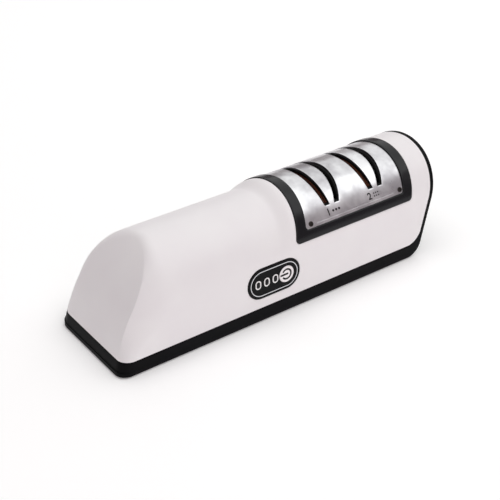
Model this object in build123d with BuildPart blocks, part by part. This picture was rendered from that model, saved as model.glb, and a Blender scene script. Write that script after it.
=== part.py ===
"""Cordless electric knife sharpener: shells, slot head, drive, battery and control panel.

Millimetres, +Z up, +X from the battery end to the slot head, -Y is the front with the panel.
The origin is on the resting surface, under the middle of the body.
"""

from build123d import *
from math import asin, atan2, cos, degrees, radians, sin, sqrt, tan
import os

os.makedirs("parts", exist_ok=True)

# ---- order along the body, from the left end to the right ---------------------------------
cell_in = 11.0           # battery cell inside the left bottom edge
cell_length = 65.0
cell_motor_gap = 3.3
motor_length = 30.8
pinion_out = 6.2         # from the motor's front to the middle of the gears
bearing_out = 6.0        # from there to the left bearing's middle
disc_in = 14.3           # from the left bearing to the coarse disc's middle
slot_pitch = 30.0        # from the coarse pair of slots to the fine pair
disc_out = 12.7          # from the fine disc's middle to the right bearing
frame_over = 25.2        # the slot frame reaches this far left of the left bearing
frame_tuck = 1.4         # right bearing beyond the frame's right edge, at the underside
end_strip = 16.0         # from the frame to the right end's face, at the underside

# ---- body -------------------------------------------------------------------------------
base_width = 64.0        # across the underside
side_draft = 3.3         # degrees, each side leans inward
body_crown = 54.6        # ridge of the low body above the underside
body_spring = 26.0       # height of the low arch's centre
head_crown = 57.4        # ridge of the raised head above the underside
head_spring = 30.8       # height of the head arch's centre
left_lean = 13.0         # degrees, the left end's lean at the underside, from where it curves back
left_curve = 100.0       # radius of that curve, in the side view
head_lean = 16.2         # degrees, the head's cross edges and the right end lean outward
end_radius = 7.0         # round all along the left end's rim
wall = 2.2               # moulded walls
cove_length = 9.0        # soft rise from the body to the head, along the ridge
cove_land = 1.2          # head surface between the rise and the slot frame
cove_steps = 5           # sections along the rise

# ---- base tray --------------------------------------------------------------------------
band_height = 7.6        # black band all round
end_wall = 2.4           # black arch that closes the right end
shell_corner = 10.5      # the shell's lower right corner, seen from the side
tray_corner = 10.0       # the tray's lower right corner
lip_height = 2.0         # tongue inside the shell's lower edge
lip_thickness = 1.2
lip_end_gap = 43.3       # from the body's ends to the tongue's
foot_drop = 0.8          # how far the feet stand out below the tray
foot_radius = 5.0
foot_recess = 1.0
foot_bevel = 0.3
foot_side_in = 11.0      # foot's middle inside the long edges
foot_left_in = 17.3      # foot's middle inside the left bottom edge
foot_right_in = 28.6     # and inside the right one

# ---- clearances -------------------------------------------------------------------------
fit_gap = 0.15           # between moulded parts that are pushed together
running_gap = 0.05       # radial, shaft in bush
press_gap = 0.02         # radial, parts pushed onto a shaft
side_gap = 0.1           # end play beside a fixed face
head_gap = 0.03          # between a screw's head and the sheet under it
sheet_gap = 0.05         # between a sheet and the ledge under it
over = 2.0               # cuts run this far past the faces they open
root_overlap = 0.5       # posts and bosses run this far into the wall they grow from

# ---- slot head --------------------------------------------------------------------------
frame_sill = 35.5        # the frame's lower edge above the underside
arm_width = 6.6          # frame arms, along X
sill_width = 5.4         # frame's lower bars
frame_corner = 2.5
frame_proud = 0.5
frame_depth = 3.0
ledge = 3.6              # shelf inside the frame that carries the cover
cover_drop = 0.2         # cover lies this much below the head's arch
cover_thickness = 1.0
cover_corner = 1.5
guide_thickness = 1.0
slot_left_out = 3.6      # first slot's middle left of its disc's middle, at slot_level
slot_right_out = 5.7     # second slot's middle right of it
slot_level = 52.0
slot_left_tilt = -7.5    # degrees from upright, the slots close in towards the disc
slot_right_tilt = 29.5
slot_foot = 47.9         # height at which a slot ends, front and back
slot_foot_width = 3.3
slot_top_width = 4.2
slot_side_gap = 0.3      # the guide's slots are wider than the cover's
slot_top_level = 59.9    # height at which slot_top_width holds
fin_thickness = 1.4
fin_foot = 43.5
fin_reach = 18.0
cover_screw_radius = 1.3
cover_screw_in = 3.3     # from the cover's end, along X
cover_screw_up = 2.3     # above the cover's lower edge
cover_screw_length = 2.6
cover_shank_radius = 0.7
cover_head_height = 0.45
cover_tip_gap = 0.3      # pilot hole beyond the screw's tip

# ---- drive ------------------------------------------------------------------------------
shaft_level = 30.0       # above the underside
shaft_radius = 2.5
shaft_bevel = 0.4
shaft_overhang = 1.5     # beyond the gear and beyond the right bush
disc_depth = 3.1         # top of the discs below the head's ridge
disc_thickness = 3.0
disc_bevel = 0.8
hub_radius = 4.0
hub_shoulder = 3.5       # hub sleeve beyond the flange, each side
hub_flange_radius = 9.0
hub_flange = 1.5
bracket_thickness = 4.0
bracket_width = 30.0
bracket_top = 38.0
bracket_foot = 10.0
bracket_foot_thickness = 2.0
bush_radius = 4.0
bush_flange_radius = 5.2
bush_flange = 0.8
clip_radius = 4.2
clip_thickness = 0.6
gear_module = 0.5
gear_teeth = 36
pinion_teeth = 12
gear_width = 4.0
tooth_root_depth_ratio = 1.2   # tooth sizes are in modules, measured from the pitch circle
tooth_tip_height_ratio = 0.9
tooth_root_half_ratio = 0.90
tooth_pitch_half_ratio = 0.70
tooth_tip_half_ratio = 0.38
tooth_foot_ratio = 0.5         # tooth carried on inside the root circle
motor_radius = 12.2
motor_wall = 1.0
motor_front_wall = 1.4
motor_round = 1.0
motor_boss_radius = 3.0
motor_boss = 1.8
motor_shaft_radius = 1.0
motor_shaft_short = 0.4  # shaft ends this far inside the end bell's face
motor_shaft_out = 0.6    # shaft beyond the pinion
end_bell_thickness = 2.0
end_bell_step = 0.3      # end bell is smaller than the can
end_bell_bevel = 0.6
rotor_radius = 8.2
rotor_length = 17.0
rotor_slots = 3
rotor_slot_depth = 2.5
rotor_slot_width = 1.2
magnet_thickness = 2.2
magnet_split = 9.0       # gap between the two magnets
mount_thickness = 1.6
mount_width = 28.0
motor_screw_spread = 8.0
motor_rib_in = 5.0       # rib under the motor, from its back
motor_rib = 2.0
motor_rib_width = 20.0
bracket_screw_spread = 9.0
pilot_depth = 1.6

# ---- battery ----------------------------------------------------------------------------
cell_radius = 9.25
cell_seat = 0.9          # cradle's bottom thickness
cradle_width = 22.0
cradle_height = 8.0
cradle_margin = 4.0
tab_thickness = 0.3
tab_height = 6.0
tab_reach = 10.8         # strip's end beyond the cell's axis, towards the front
cell_nub = 0.8
cell_nub_radius = 3.0
cell_round = 0.6

# ---- control panel ----------------------------------------------------------------------
panel_from_frame = 4.25  # panel's middle left of the frame's left edge
panel_level = 21.8
panel_half_length = 16.65
panel_half_height = 8.7
panel_proud = 0.35
panel_flange = 1.2
panel_seat_gap = 0.5     # flange behind the shell's wall
panel_flange_thickness = 1.0
trim_inset = 1.6         # light ring line, inside the panel's edge
trim_width = 0.45
trim_depth = 0.6
key_out = 7.95           # key's middle right of the panel's
key_radius = 4.7
key_proud = 0.35
key_travel = 0.5
key_flange = 0.5
key_flange_thickness = 0.7
window_out = 10.25       # first window's middle left of the panel's
window_pitch = 5.45
window_count = 3
window_width = 3.6
window_height = 5.0
lens_ear = 0.8           # lens foot beyond its window, above and below
board_depth = 8.6        # front of the control board below the shell's surface
board_thickness = 1.2
board_half_length = 16.6
board_half_height = 7.0
post_radius = 1.2
post_spread = 15.0
peg_radius = 0.7
peg_out = 0.4            # peg beyond the board's back
switch_size = 6.0
switch_height = 2.6
plunger_radius = 1.2
plunger_out = 0.8        # plunger in front of the switch's face
plunger_in = 1.4         # plunger behind it
plunger_spare = 0.2      # room behind the plunger when it is fully pressed
plunger_gap = 0.1
stem_radius = 1.5
led_length = 2.0
led_width = 1.25
led_height = 0.7

# ---- charging socket --------------------------------------------------------------------
socket_level = 16.0
socket_width = 8.9
socket_height = 3.2
socket_inset = 0.5       # mouth below the end wall's face
socket_tongue_width = 6.7
socket_tongue_height = 0.7
socket_wall = 0.35
socket_back = 1.0
socket_tongue_inset = 1.0    # tongue's tip behind the mouth
charge_board_width = 18.0
charge_board_height = 13.0
charge_board_depth = 8.6
charge_post_spread = 7.0

# ---- fastening --------------------------------------------------------------------------
boss_side_in = 7.0       # boss's middle inside the long edges
boss_left_in = 35.3      # inside the left bottom edge
boss_right_in = 16.6     # and inside the right one
boss_radius = 3.6
boss_joint = 6.0         # level at which tray boss and shell boss meet
screw_radius = 1.25
screw_tip_gap = 1.0      # bore beyond the screw's tip
cross_length = 3.0       # cross recess in the screw's head
cross_width = 0.7
cross_depth = 1.0
screw_head_radius = 2.5
screw_head_height = 1.8
screw_head_depth = 3.2   # counterbore from the underside
screw_length = 16.0
small_screw_radius = 0.9
small_head_radius = 1.7
small_head_height = 1.2

# ---- leads ------------------------------------------------------------------------------
lead_radius = 0.6
lead_bend = 1.2
lead_drop = 3.0          # straight end in front of the control board
lead_out = 2.0           # straight end behind the motor
battery_lead_x = 14.55   # first lead's end on the control board, left of the panel's middle
lead_pitch = 3.0         # between the two ends
motor_lead_x = 6.55      # motor leads' first end, left of the panel's middle
motor_lead_pitch = 5.0
motor_lead_height = 4.5  # above the board's middle
motor_lead_rise = 5.0    # second motor lead's corner above the first one's
motor_terminal_y = 5.0
motor_terminal_height = 6.0      # above the motor's axis
motor_terminal_step = 2.5        # second terminal above the first
charge_lead_x = 4.45     # charging leads' first end, right of the panel's middle
charge_lead_pitch = 4.0
charge_lead_height = 4.5         # below the board's middle
charge_terminal_y = 4.0
charge_terminal_pitch = 2.5
charge_run_y = 17.0      # from the middle, towards the front
charge_run_pitch = 2.0
charge_run = 1.5         # charging leads lie this far above the floor

# ---- derived ----------------------------------------------------------------------------
base_z = foot_drop
lean_slope = tan(radians(head_lean))
bearing_in = cell_in + cell_length + cell_motor_gap + motor_length + pinion_out + bearing_out
right_in = bearing_in + disc_in + slot_pitch + disc_out
body_length = right_in - frame_tuck + end_strip + head_crown * lean_slope
half_length = body_length / 2
cell_x = cell_in - half_length
motor_back_x = cell_x + cell_length + cell_motor_gap
motor_front_x = motor_back_x + motor_length
gear_x = motor_front_x + pinion_out                   # middle of the gear and the pinion
left_bearing_x = gear_x + bearing_out
disc_x = left_bearing_x + disc_in
right_bearing_x = disc_x + slot_pitch + disc_out
frame_left_x = left_bearing_x - frame_over            # at the underside's level
frame_right_x = right_bearing_x - frame_tuck
end_x = frame_right_x + end_strip                     # right end's face at the underside
shell_end_x = end_x - end_wall
slot_left_x = disc_x - slot_left_out
slot_right_x = disc_x + slot_right_out
panel_x = frame_left_x - panel_from_frame
key_x = panel_x + key_out
window_first_x = panel_x - window_out
lip_half_length = half_length - lip_end_gap
foot_y = base_width / 2 - foot_side_in
foot_places = [(x, y) for x in (foot_left_in - half_length, end_x - foot_right_in) for y in (-foot_y, foot_y)]
boss_y = base_width / 2 - boss_side_in
boss_places = [(x, y) for x in (boss_left_in - half_length, end_x - boss_right_in) for y in (-boss_y, boss_y)]
disc_radius = head_crown - disc_depth - shaft_level
shaft_z = base_z + shaft_level
centre_distance = gear_module * (gear_teeth + pinion_teeth) / 2
motor_z = shaft_z - centre_distance
floor_top = base_z + wall
cell_z = floor_top + cell_seat + cell_radius
reach = base_width                                    # longer than any cut needs across Y
past = body_length                                    # longer than any cut needs along X and Z
cove_start_x = frame_left_x - cove_land - cove_length
cover_under = cover_drop + cover_thickness
stage_shifts = [0.0, slot_pitch]
side_plane = Plane((0, 0, base_z), x_dir=(1, 0, 0), z_dir=(0, -1, 0))    # side view, local y up


def cap_half_width(spring, crown, inset):
    """Half width of the elliptic arch that runs tangent into the leaning sides."""
    draft = radians(side_draft)
    rise = crown - spring - inset
    support = base_width / 2 * cos(draft) - inset - spring * sin(draft)
    return sqrt(support**2 - (rise * sin(draft)) ** 2) / cos(draft)


def slanted(x_at_base, lean):
    """Plane across the body that leans towards +X as it rises; its normal points to the right."""
    slope = radians(lean)
    return Plane((x_at_base, 0, base_z), x_dir=(0, 1, 0), z_dir=(cos(slope), 0, -sin(slope)))


def arch(spring, crown, inset=0.0, stretch=1.0):
    """Closed arch outline: floor, leaning sides and an elliptic cap; stretch is for slanted planes."""
    draft = radians(side_draft)
    rise = crown - spring - inset
    width = cap_half_width(spring, crown, inset)
    start = degrees(atan2(rise * sin(draft), width * cos(draft)))
    low = base_width / 2 - inset / cos(draft)
    with BuildSketch() as outline:
        with BuildLine():
            cap = EllipticalCenterArc((0, spring * stretch), width, rise * stretch, start,
                                      arc_size=180 - 2 * start)
            Polyline(cap @ 1, (-low, 0), (low, 0), cap @ 0)
        make_face()
    return outline.sketch


def arch_bar(spring, crown, inset, x_from, x_to):
    """Arch outline carried straight along X."""
    with BuildPart() as bar:
        with BuildSketch(slanted(x_from, 0.0)):
            add(arch(spring, crown, inset))
        extrude(amount=x_to - x_from)
    return bar.part


def body_part(inset, rim):
    """Low body with its curved, rounded left end, up to where the rise to the head starts."""
    lean = radians(left_lean)
    middle = (left_curve * cos(lean) - half_length, -left_curve * sin(lean))
    with BuildPart() as low:
        add(arch_bar(body_spring, body_crown, inset, -past, past))
        split(bisect_by=slanted(cove_start_x, head_lean), keep=Keep.BOTTOM)
        with BuildSketch(side_plane):
            with Locations(middle):
                Circle(left_curve - inset)
        extrude(amount=reach, both=True, mode=Mode.INTERSECT)
        left_face = low.faces().filter_by(GeomType.CYLINDER).sort_by(Axis.X)[0]
        rim_edges = left_face.edges().filter_by(lambda e: e.center().Z > floor_top)
        fillet(rim_edges, rim)
    return low.part


def cove_part(inset):
    """Soft S-shaped rise between the two arches, lofted through slanted sections."""
    stretch = 1 / cos(radians(head_lean))
    with BuildPart() as cove:
        for step in range(cove_steps + 1):
            part_way = step / cove_steps
            ease = part_way**2 * (3 - 2 * part_way)
            crown = body_crown + (head_crown - body_crown) * ease
            spring = body_spring + (head_spring - body_spring) * ease
            with BuildSketch(slanted(cove_start_x + cove_length * part_way, head_lean)):
                add(arch(spring, crown, inset, stretch))
        loft()
    return cove.part


def head_part(inset, end_inset):
    """Raised head from the end of the rise to the slanted right end."""
    with BuildPart() as head:
        add(arch_bar(head_spring, head_crown, inset, -past, past))
        split(bisect_by=slanted(cove_start_x + cove_length, head_lean), keep=Keep.TOP)
        split(bisect_by=slanted(end_x - end_inset, head_lean), keep=Keep.BOTTOM)
    return head.part


def side_zone(points, radii):
    """Prism across Y over a side-view outline whose listed corners are rounded."""
    with BuildPart() as zone:
        with BuildSketch(side_plane) as outline:
            with BuildLine():
                Polyline(*points, close=True)
            make_face()
            for corner, radius in radii:
                nearest = outline.vertices().sort_by_distance((corner[0], 0, corner[1] + base_z))[0]
                fillet(nearest, radius)
        extrude(amount=reach, both=True)
    return zone.part


# ---- outer and inner volumes ------------------------------------------------------------
with BuildPart() as outer_volume:
    add(body_part(0.0, end_radius))
    add(cove_part(0.0))
    add(head_part(0.0, 0.0))

tray_edge = [(-past, 0), (end_x, 0), (end_x + past * lean_slope, past), (-past, past)]
tray_profile = side_zone(tray_edge, [((end_x, 0), tray_corner)])

with BuildPart() as outer_body:
    add(outer_volume.part)
    add(tray_profile, mode=Mode.INTERSECT)

cavity_x = shell_end_x + wall * lean_slope
cavity_edge = [(-past, wall), (cavity_x, wall), (cavity_x + past * lean_slope, wall + past),
               (-past, wall + past)]
cavity_profile = side_zone(cavity_edge, [((cavity_x, wall), tray_corner - wall)])

with BuildPart() as cavity:
    add(body_part(wall, end_radius - wall))
    add(cove_part(wall))
    add(head_part(wall, 0.0))
    add(cavity_profile, mode=Mode.INTERSECT)

joint_x = shell_end_x + band_height * lean_slope
joint_edge = [(-past, band_height), (joint_x, band_height),
              (joint_x + past * lean_slope, band_height + past), (-past, band_height + past)]
shell_side = side_zone(joint_edge, [((joint_x, band_height), shell_corner)])


def saddle_zone(side, sill, corner):
    """Side-view window of the head: slanted ends, level lower edge, open at the top."""
    low = frame_sill + sill
    left = frame_left_x + side + low * lean_slope
    right = frame_right_x - side + low * lean_slope
    points = [(left, low), (right, low), (right + past * lean_slope, low + past),
              (left + past * lean_slope, low + past)]
    return side_zone(points, [((left, low), corner), ((right, low), corner)])


def slot_zone(shift, widen):
    """The two slots of one stage, each a wedge that narrows towards its foot."""
    with BuildPart() as slots:
        with BuildSketch(side_plane):
            for middle, tilt in ((slot_left_x, slot_left_tilt), (slot_right_x, slot_right_tilt)):
                slope = tan(radians(tilt))
                foot = slot_foot - widen
                foot_x = middle + shift + (foot - slot_level) * slope
                top_x = middle + shift + (slot_top_level - slot_level) * slope
                half_foot = slot_foot_width / 2 + widen
                half_top = slot_top_width / 2 + widen
                with BuildLine():
                    Polyline((foot_x - half_foot, foot), (foot_x + half_foot, foot),
                             (top_x + half_top, slot_top_level), (top_x - half_top, slot_top_level),
                             close=True)
                make_face()
        extrude(amount=reach, both=True)
    return slots.part


def tilted_fin(middle, tilt, side):
    """Upright fin that guides the outer face of the blade, parallel to its slot."""
    slope = tan(radians(tilt))
    low_x = middle + (fin_foot - slot_level) * slope
    high_x = middle + (head_crown - slot_level) * slope
    near = side * (slot_top_width / 2 + slot_side_gap)
    far = near + side * fin_thickness
    with BuildPart() as fin:
        with BuildSketch(side_plane):
            with BuildLine():
                Polyline((low_x + near, fin_foot), (low_x + far, fin_foot),
                         (high_x + far, head_crown), (high_x + near, head_crown), close=True)
            make_face()
        extrude(amount=fin_reach, both=True)
    return fin.part


frame_window = saddle_zone(0.0, 0.0, frame_corner)
frame_outline = saddle_zone(fit_gap, fit_gap, frame_corner)
cover_seat = saddle_zone(arm_width, sill_width, cover_corner)
cover_outline = saddle_zone(arm_width + fit_gap, sill_width + fit_gap, cover_corner)
through_zone = saddle_zone(arm_width + ledge, sill_width + ledge, cover_corner)
guide_outline = saddle_zone(arm_width + ledge + fit_gap, sill_width + ledge + fit_gap, cover_corner)


def head_skin(inset):
    """Head arch at a given depth, long enough to cover the whole slot head."""
    return arch_bar(head_spring, head_crown, inset, -past, past)


# ---- where the front panel sits ---------------------------------------------------------
panel_y = -(base_width / 2 - panel_level * tan(radians(side_draft)))
panel_normal = (0, -cos(radians(side_draft)), sin(radians(side_draft)))


def panel_plane(x, depth):
    """Plane parallel to the front face, depth below it, with local x along +X and local y up."""
    return Plane((x, panel_y, base_z + panel_level), x_dir=(1, 0, 0), z_dir=panel_normal).offset(-depth)


def end_plane(depth):
    """Plane parallel to the right end, depth inside it, with local x along +Y and local y up."""
    origin = (end_x + socket_level * lean_slope, 0, base_z + socket_level)
    slope = radians(head_lean)
    return Plane(origin, x_dir=(0, 1, 0), z_dir=(cos(slope), 0, -sin(slope))).offset(-depth)


def pill(plane, half_length_in, half_height_in, length):
    """Stadium-shaped prism."""
    with BuildPart() as prism:
        with BuildSketch(plane):
            SlotOverall(2 * half_length_in, 2 * half_height_in)
        extrude(amount=length)
    return prism.part


with BuildPart() as lip_room:
    add(arch_bar(body_spring, body_crown, 0.0, -lip_half_length, lip_half_length))
    add(arch_bar(body_spring, body_crown, wall + fit_gap, -lip_half_length, lip_half_length),
        mode=Mode.SUBTRACT)
    with BuildSketch(side_plane):
        with Locations((0, band_height)):
            Rectangle(past, lip_height + over, align=(Align.CENTER, Align.MIN))
    extrude(amount=reach, both=True, mode=Mode.INTERSECT)

with BuildPart() as lip:
    add(arch_bar(body_spring, body_crown, wall - fit_gap, -lip_half_length, lip_half_length))
    add(arch_bar(body_spring, body_crown, wall + fit_gap + lip_thickness, -lip_half_length, lip_half_length),
        mode=Mode.SUBTRACT)
    with BuildSketch(side_plane):
        with Locations((0, band_height)):
            Rectangle(past, 2 * lip_height)
    extrude(amount=reach, both=True, mode=Mode.INTERSECT)
    add(lip_room.part, mode=Mode.SUBTRACT)

bracket_screw_places = []
for screw_x in (motor_front_x - bracket_foot / 2,
                left_bearing_x + (bracket_thickness + bracket_foot) / 2,
                right_bearing_x - (bracket_thickness + bracket_foot) / 2):
    bracket_screw_places.append((screw_x, -bracket_screw_spread))
    bracket_screw_places.append((screw_x, bracket_screw_spread))

# ---- base_tray --------------------------------------------------------------------------
with BuildPart() as base_tray:
    add(outer_body.part)
    add(cavity.part, mode=Mode.SUBTRACT)
    add(shell_side, mode=Mode.SUBTRACT)
    with BuildSketch(Plane.XY.offset(floor_top)):
        with Locations(*boss_places):
            Circle(boss_radius)
    extrude(amount=boss_joint - wall)
    with BuildSketch(Plane.XY.offset(base_z)):
        with Locations(*boss_places):
            Circle(screw_head_radius + fit_gap)
    extrude(amount=screw_head_depth, mode=Mode.SUBTRACT)
    with BuildSketch(Plane.XY.offset(base_z)):
        with Locations(*boss_places):
            Circle(screw_radius + running_gap)
    extrude(amount=boss_joint + over, mode=Mode.SUBTRACT)
    with BuildSketch(Plane.XY.offset(base_z)):
        with Locations(*foot_places):
            Circle(foot_radius + running_gap)
    extrude(amount=foot_recess, mode=Mode.SUBTRACT)
    with BuildSketch(end_plane(charge_board_depth)):
        with Locations((-charge_post_spread, 0), (charge_post_spread, 0)):
            Circle(post_radius)
    extrude(amount=charge_board_depth - end_wall + root_overlap)
    add(pill(end_plane(end_wall + over), socket_width / 2 + fit_gap, socket_height / 2 + fit_gap,
             end_wall + 2 * over), mode=Mode.SUBTRACT)
    add(lip.part)
    with BuildSketch(slanted(motor_back_x + motor_rib_in, 0.0)):
        with Locations((0, wall)):
            Rectangle(motor_rib_width, shaft_level - wall - centre_distance,
                      align=(Align.CENTER, Align.MIN))
        with Locations((0, motor_z - base_z)):
            Circle(motor_radius + fit_gap, mode=Mode.SUBTRACT)
    extrude(amount=motor_rib)
    with BuildSketch(Plane.XY.offset(floor_top - pilot_depth)):
        with Locations(*bracket_screw_places):
            Circle(small_screw_radius + running_gap)
    extrude(amount=pilot_depth, mode=Mode.SUBTRACT)
base_tray.part.label = "base_tray"
export_step(base_tray.part, "parts/base_tray.step")

# ---- upper_shell ------------------------------------------------------------------------
with BuildPart() as shell_bosses:
    with BuildSketch(Plane.XY.offset(base_z + boss_joint)):
        with Locations(*boss_places):
            Circle(boss_radius)
    extrude(amount=head_crown)
    add(outer_body.part, mode=Mode.INTERSECT)
    with BuildSketch(Plane.XY.offset(base_z)):
        with Locations(*boss_places):
            Circle(screw_radius + running_gap)
    extrude(amount=boss_joint + screw_length, mode=Mode.SUBTRACT)
    add(frame_window, mode=Mode.SUBTRACT)

with BuildPart() as upper_shell:
    add(outer_body.part)
    add(cavity.part, mode=Mode.SUBTRACT)
    add(shell_side, mode=Mode.INTERSECT)
    add(frame_window, mode=Mode.SUBTRACT)
    add(shell_bosses.part)
    add(pill(panel_plane(panel_x, wall + over), panel_half_length + fit_gap, panel_half_height + fit_gap,
             wall + 2 * over), mode=Mode.SUBTRACT)
upper_shell.part.label = "upper_shell"
export_step(upper_shell.part, "parts/upper_shell.step")

# ---- rubber_feet ------------------------------------------------------------------------
with BuildPart() as rubber_feet:
    with BuildSketch(Plane.XY):
        with Locations(*foot_places):
            Circle(foot_radius)
    extrude(amount=foot_drop + foot_recess)
    chamfer(rubber_feet.faces().group_by(Axis.Z)[0].edges(), foot_bevel)
rubber_feet.part.label = "rubber_feet"
export_step(rubber_feet.part, "parts/rubber_feet.step")

# ---- base_screws ------------------------------------------------------------------------
head_seat = base_z + screw_head_depth
with BuildPart() as base_screws:
    with BuildSketch(Plane.XY.offset(head_seat - screw_head_height)):
        with Locations(*boss_places):
            Circle(screw_head_radius)
    extrude(amount=screw_head_height)
    with BuildSketch(Plane.XY.offset(head_seat)):
        with Locations(*boss_places):
            Circle(screw_radius)
    extrude(amount=boss_joint + screw_length - screw_head_depth - screw_tip_gap)
    with BuildSketch(Plane.XY.offset(head_seat - screw_head_height)):
        with Locations(*boss_places):
            Rectangle(cross_length, cross_width)
            Rectangle(cross_width, cross_length)
    extrude(amount=cross_depth, mode=Mode.SUBTRACT)
base_screws.part.label = "base_screws"
export_step(base_screws.part, "parts/base_screws.step")

# ---- slot_frame -------------------------------------------------------------------------
cover_screw_level = frame_sill + sill_width + fit_gap + cover_screw_up
head_width = cap_half_width(head_spring, head_crown, cover_drop)
head_rise = head_crown - cover_drop - head_spring
screw_angle = asin((cover_screw_level - head_spring) / head_rise)
screw_y = head_width * cos(screw_angle)
screw_normal = (cos(screw_angle) / head_width, sin(screw_angle) / head_rise)
screw_shift = arm_width + fit_gap + cover_screw_in
cover_screw_x = [frame_left_x + cover_screw_level * lean_slope + screw_shift,
                 frame_right_x + cover_screw_level * lean_slope - screw_shift]


def cover_screw_planes(lift):
    """Planes square to the cover at its four screws, lift above its surface."""
    planes = []
    for x in cover_screw_x:
        for side in (-1, 1):
            normal = (0, side * screw_normal[0], screw_normal[1])
            origin = (x, side * screw_y, base_z + cover_screw_level)
            planes.append(Plane(origin, x_dir=(1, 0, 0), z_dir=normal).offset(lift))
    return planes


with BuildPart() as screw_paths:
    for path_plane in cover_screw_planes(over):
        with BuildSketch(path_plane):
            Circle(cover_shank_radius + running_gap)
        extrude(amount=-(over + cover_screw_length + cover_tip_gap))

with BuildPart() as seat_room:
    add(cover_seat)
    add(head_skin(cover_under + sheet_gap), mode=Mode.SUBTRACT)

with BuildPart() as slot_frame:
    add(head_skin(-frame_proud))
    add(head_skin(frame_depth), mode=Mode.SUBTRACT)
    add(frame_outline, mode=Mode.INTERSECT)
    add(seat_room.part, mode=Mode.SUBTRACT)
    add(through_zone, mode=Mode.SUBTRACT)
    add(screw_paths.part, mode=Mode.SUBTRACT)
slot_frame.part.label = "slot_frame"
export_step(slot_frame.part, "parts/slot_frame.step")

# ---- guide_cover ------------------------------------------------------------------------
with BuildPart() as guide_cover:
    add(head_skin(cover_drop))
    add(head_skin(cover_under), mode=Mode.SUBTRACT)
    add(cover_outline, mode=Mode.INTERSECT)
    add(screw_paths.part, mode=Mode.SUBTRACT)
    for shift in stage_shifts:
        add(slot_zone(shift, 0.0), mode=Mode.SUBTRACT)
guide_cover.part.label = "guide_cover"
export_step(guide_cover.part, "parts/guide_cover.step")

# ---- cover_screws -----------------------------------------------------------------------
with BuildPart() as cover_screws:
    for head_plane in cover_screw_planes(head_gap):
        with BuildSketch(head_plane):
            Circle(cover_screw_radius)
        extrude(amount=cover_head_height)
        with BuildSketch(head_plane):
            Circle(cover_shank_radius)
        extrude(amount=-cover_screw_length)
cover_screws.part.label = "cover_screws"
export_step(cover_screws.part, "parts/cover_screws.step")

# ---- blade_guide ------------------------------------------------------------------------
with BuildPart() as fins:
    for shift in stage_shifts:
        add(tilted_fin(slot_left_x + shift, slot_left_tilt, -1))
        add(tilted_fin(slot_right_x + shift, slot_right_tilt, 1))
    add(head_skin(cover_under), mode=Mode.INTERSECT)

with BuildPart() as blade_guide:
    add(head_skin(cover_under))
    add(head_skin(cover_under + guide_thickness), mode=Mode.SUBTRACT)
    add(guide_outline, mode=Mode.INTERSECT)
    add(fins.part)
    for shift in stage_shifts:
        add(slot_zone(shift, slot_side_gap), mode=Mode.SUBTRACT)
blade_guide.part.label = "blade_guide"
export_step(blade_guide.part, "parts/blade_guide.step")


def across(x, y, z):
    """Plane square to X, with local x along +Y and local y up."""
    return Plane((x, y, z), x_dir=(0, 1, 0), z_dir=(1, 0, 0))


def rod(x_from, x_to, radius, axis_z, bore=0.0):
    """Round bar or sleeve along X."""
    with BuildPart() as bar:
        with BuildSketch(across(x_from, 0, axis_z)):
            Circle(radius)
            if bore > 0:
                Circle(bore, mode=Mode.SUBTRACT)
        extrude(amount=x_to - x_from)
    return bar.part


# ---- disc_shaft -------------------------------------------------------------------------
gear_left = gear_x - gear_width / 2
gear_right = gear_x + gear_width / 2
left_face = left_bearing_x - bracket_thickness / 2
right_face = right_bearing_x + bracket_thickness / 2
disc_places = [disc_x + shift for shift in stage_shifts]

with BuildPart() as disc_shaft:
    add(rod(gear_left - shaft_overhang, right_face + side_gap + clip_thickness + shaft_overhang,
            shaft_radius, shaft_z))
    chamfer(disc_shaft.edges(), shaft_bevel)
disc_shaft.part.label = "disc_shaft"
export_step(disc_shaft.part, "parts/disc_shaft.step")

# ---- abrasive discs, their hubs and clamps ----------------------------------------------
for disc_name, place in zip(("coarse_disc", "fine_disc"), disc_places):
    with BuildPart() as disc:
        add(rod(place - disc_thickness / 2, place + disc_thickness / 2, disc_radius, shaft_z,
                hub_radius + press_gap))
        rims = disc.edges().filter_by(GeomType.CIRCLE).group_by(SortBy.RADIUS)[-1]
        chamfer(rims, disc_bevel)
    disc.part.label = disc_name
    export_step(disc.part, f"parts/{disc_name}.step")

with BuildPart() as disc_hubs:
    for place in disc_places:
        flange_left = place - disc_thickness / 2 - hub_flange
        add(rod(flange_left - hub_shoulder, place + disc_thickness / 2 + hub_flange + hub_shoulder,
                hub_radius, shaft_z, shaft_radius + press_gap))
        add(rod(flange_left, flange_left + hub_flange, hub_flange_radius, shaft_z,
                shaft_radius + press_gap))
disc_hubs.part.label = "disc_hubs"
export_step(disc_hubs.part, "parts/disc_hubs.step")

with BuildPart() as disc_clamps:
    for place in disc_places:
        add(rod(place + disc_thickness / 2, place + disc_thickness / 2 + hub_flange,
                hub_flange_radius, shaft_z, hub_radius + press_gap))
disc_clamps.part.label = "disc_clamps"
export_step(disc_clamps.part, "parts/disc_clamps.step")

# ---- shaft_clips ------------------------------------------------------------------------
with BuildPart() as shaft_clips:
    add(rod(left_face - side_gap - clip_thickness, left_face - side_gap, clip_radius, shaft_z,
            shaft_radius + press_gap))
    add(rod(right_face + side_gap, right_face + side_gap + clip_thickness, clip_radius, shaft_z,
            shaft_radius + press_gap))
shaft_clips.part.label = "shaft_clips"
export_step(shaft_clips.part, "parts/shaft_clips.step")

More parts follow.
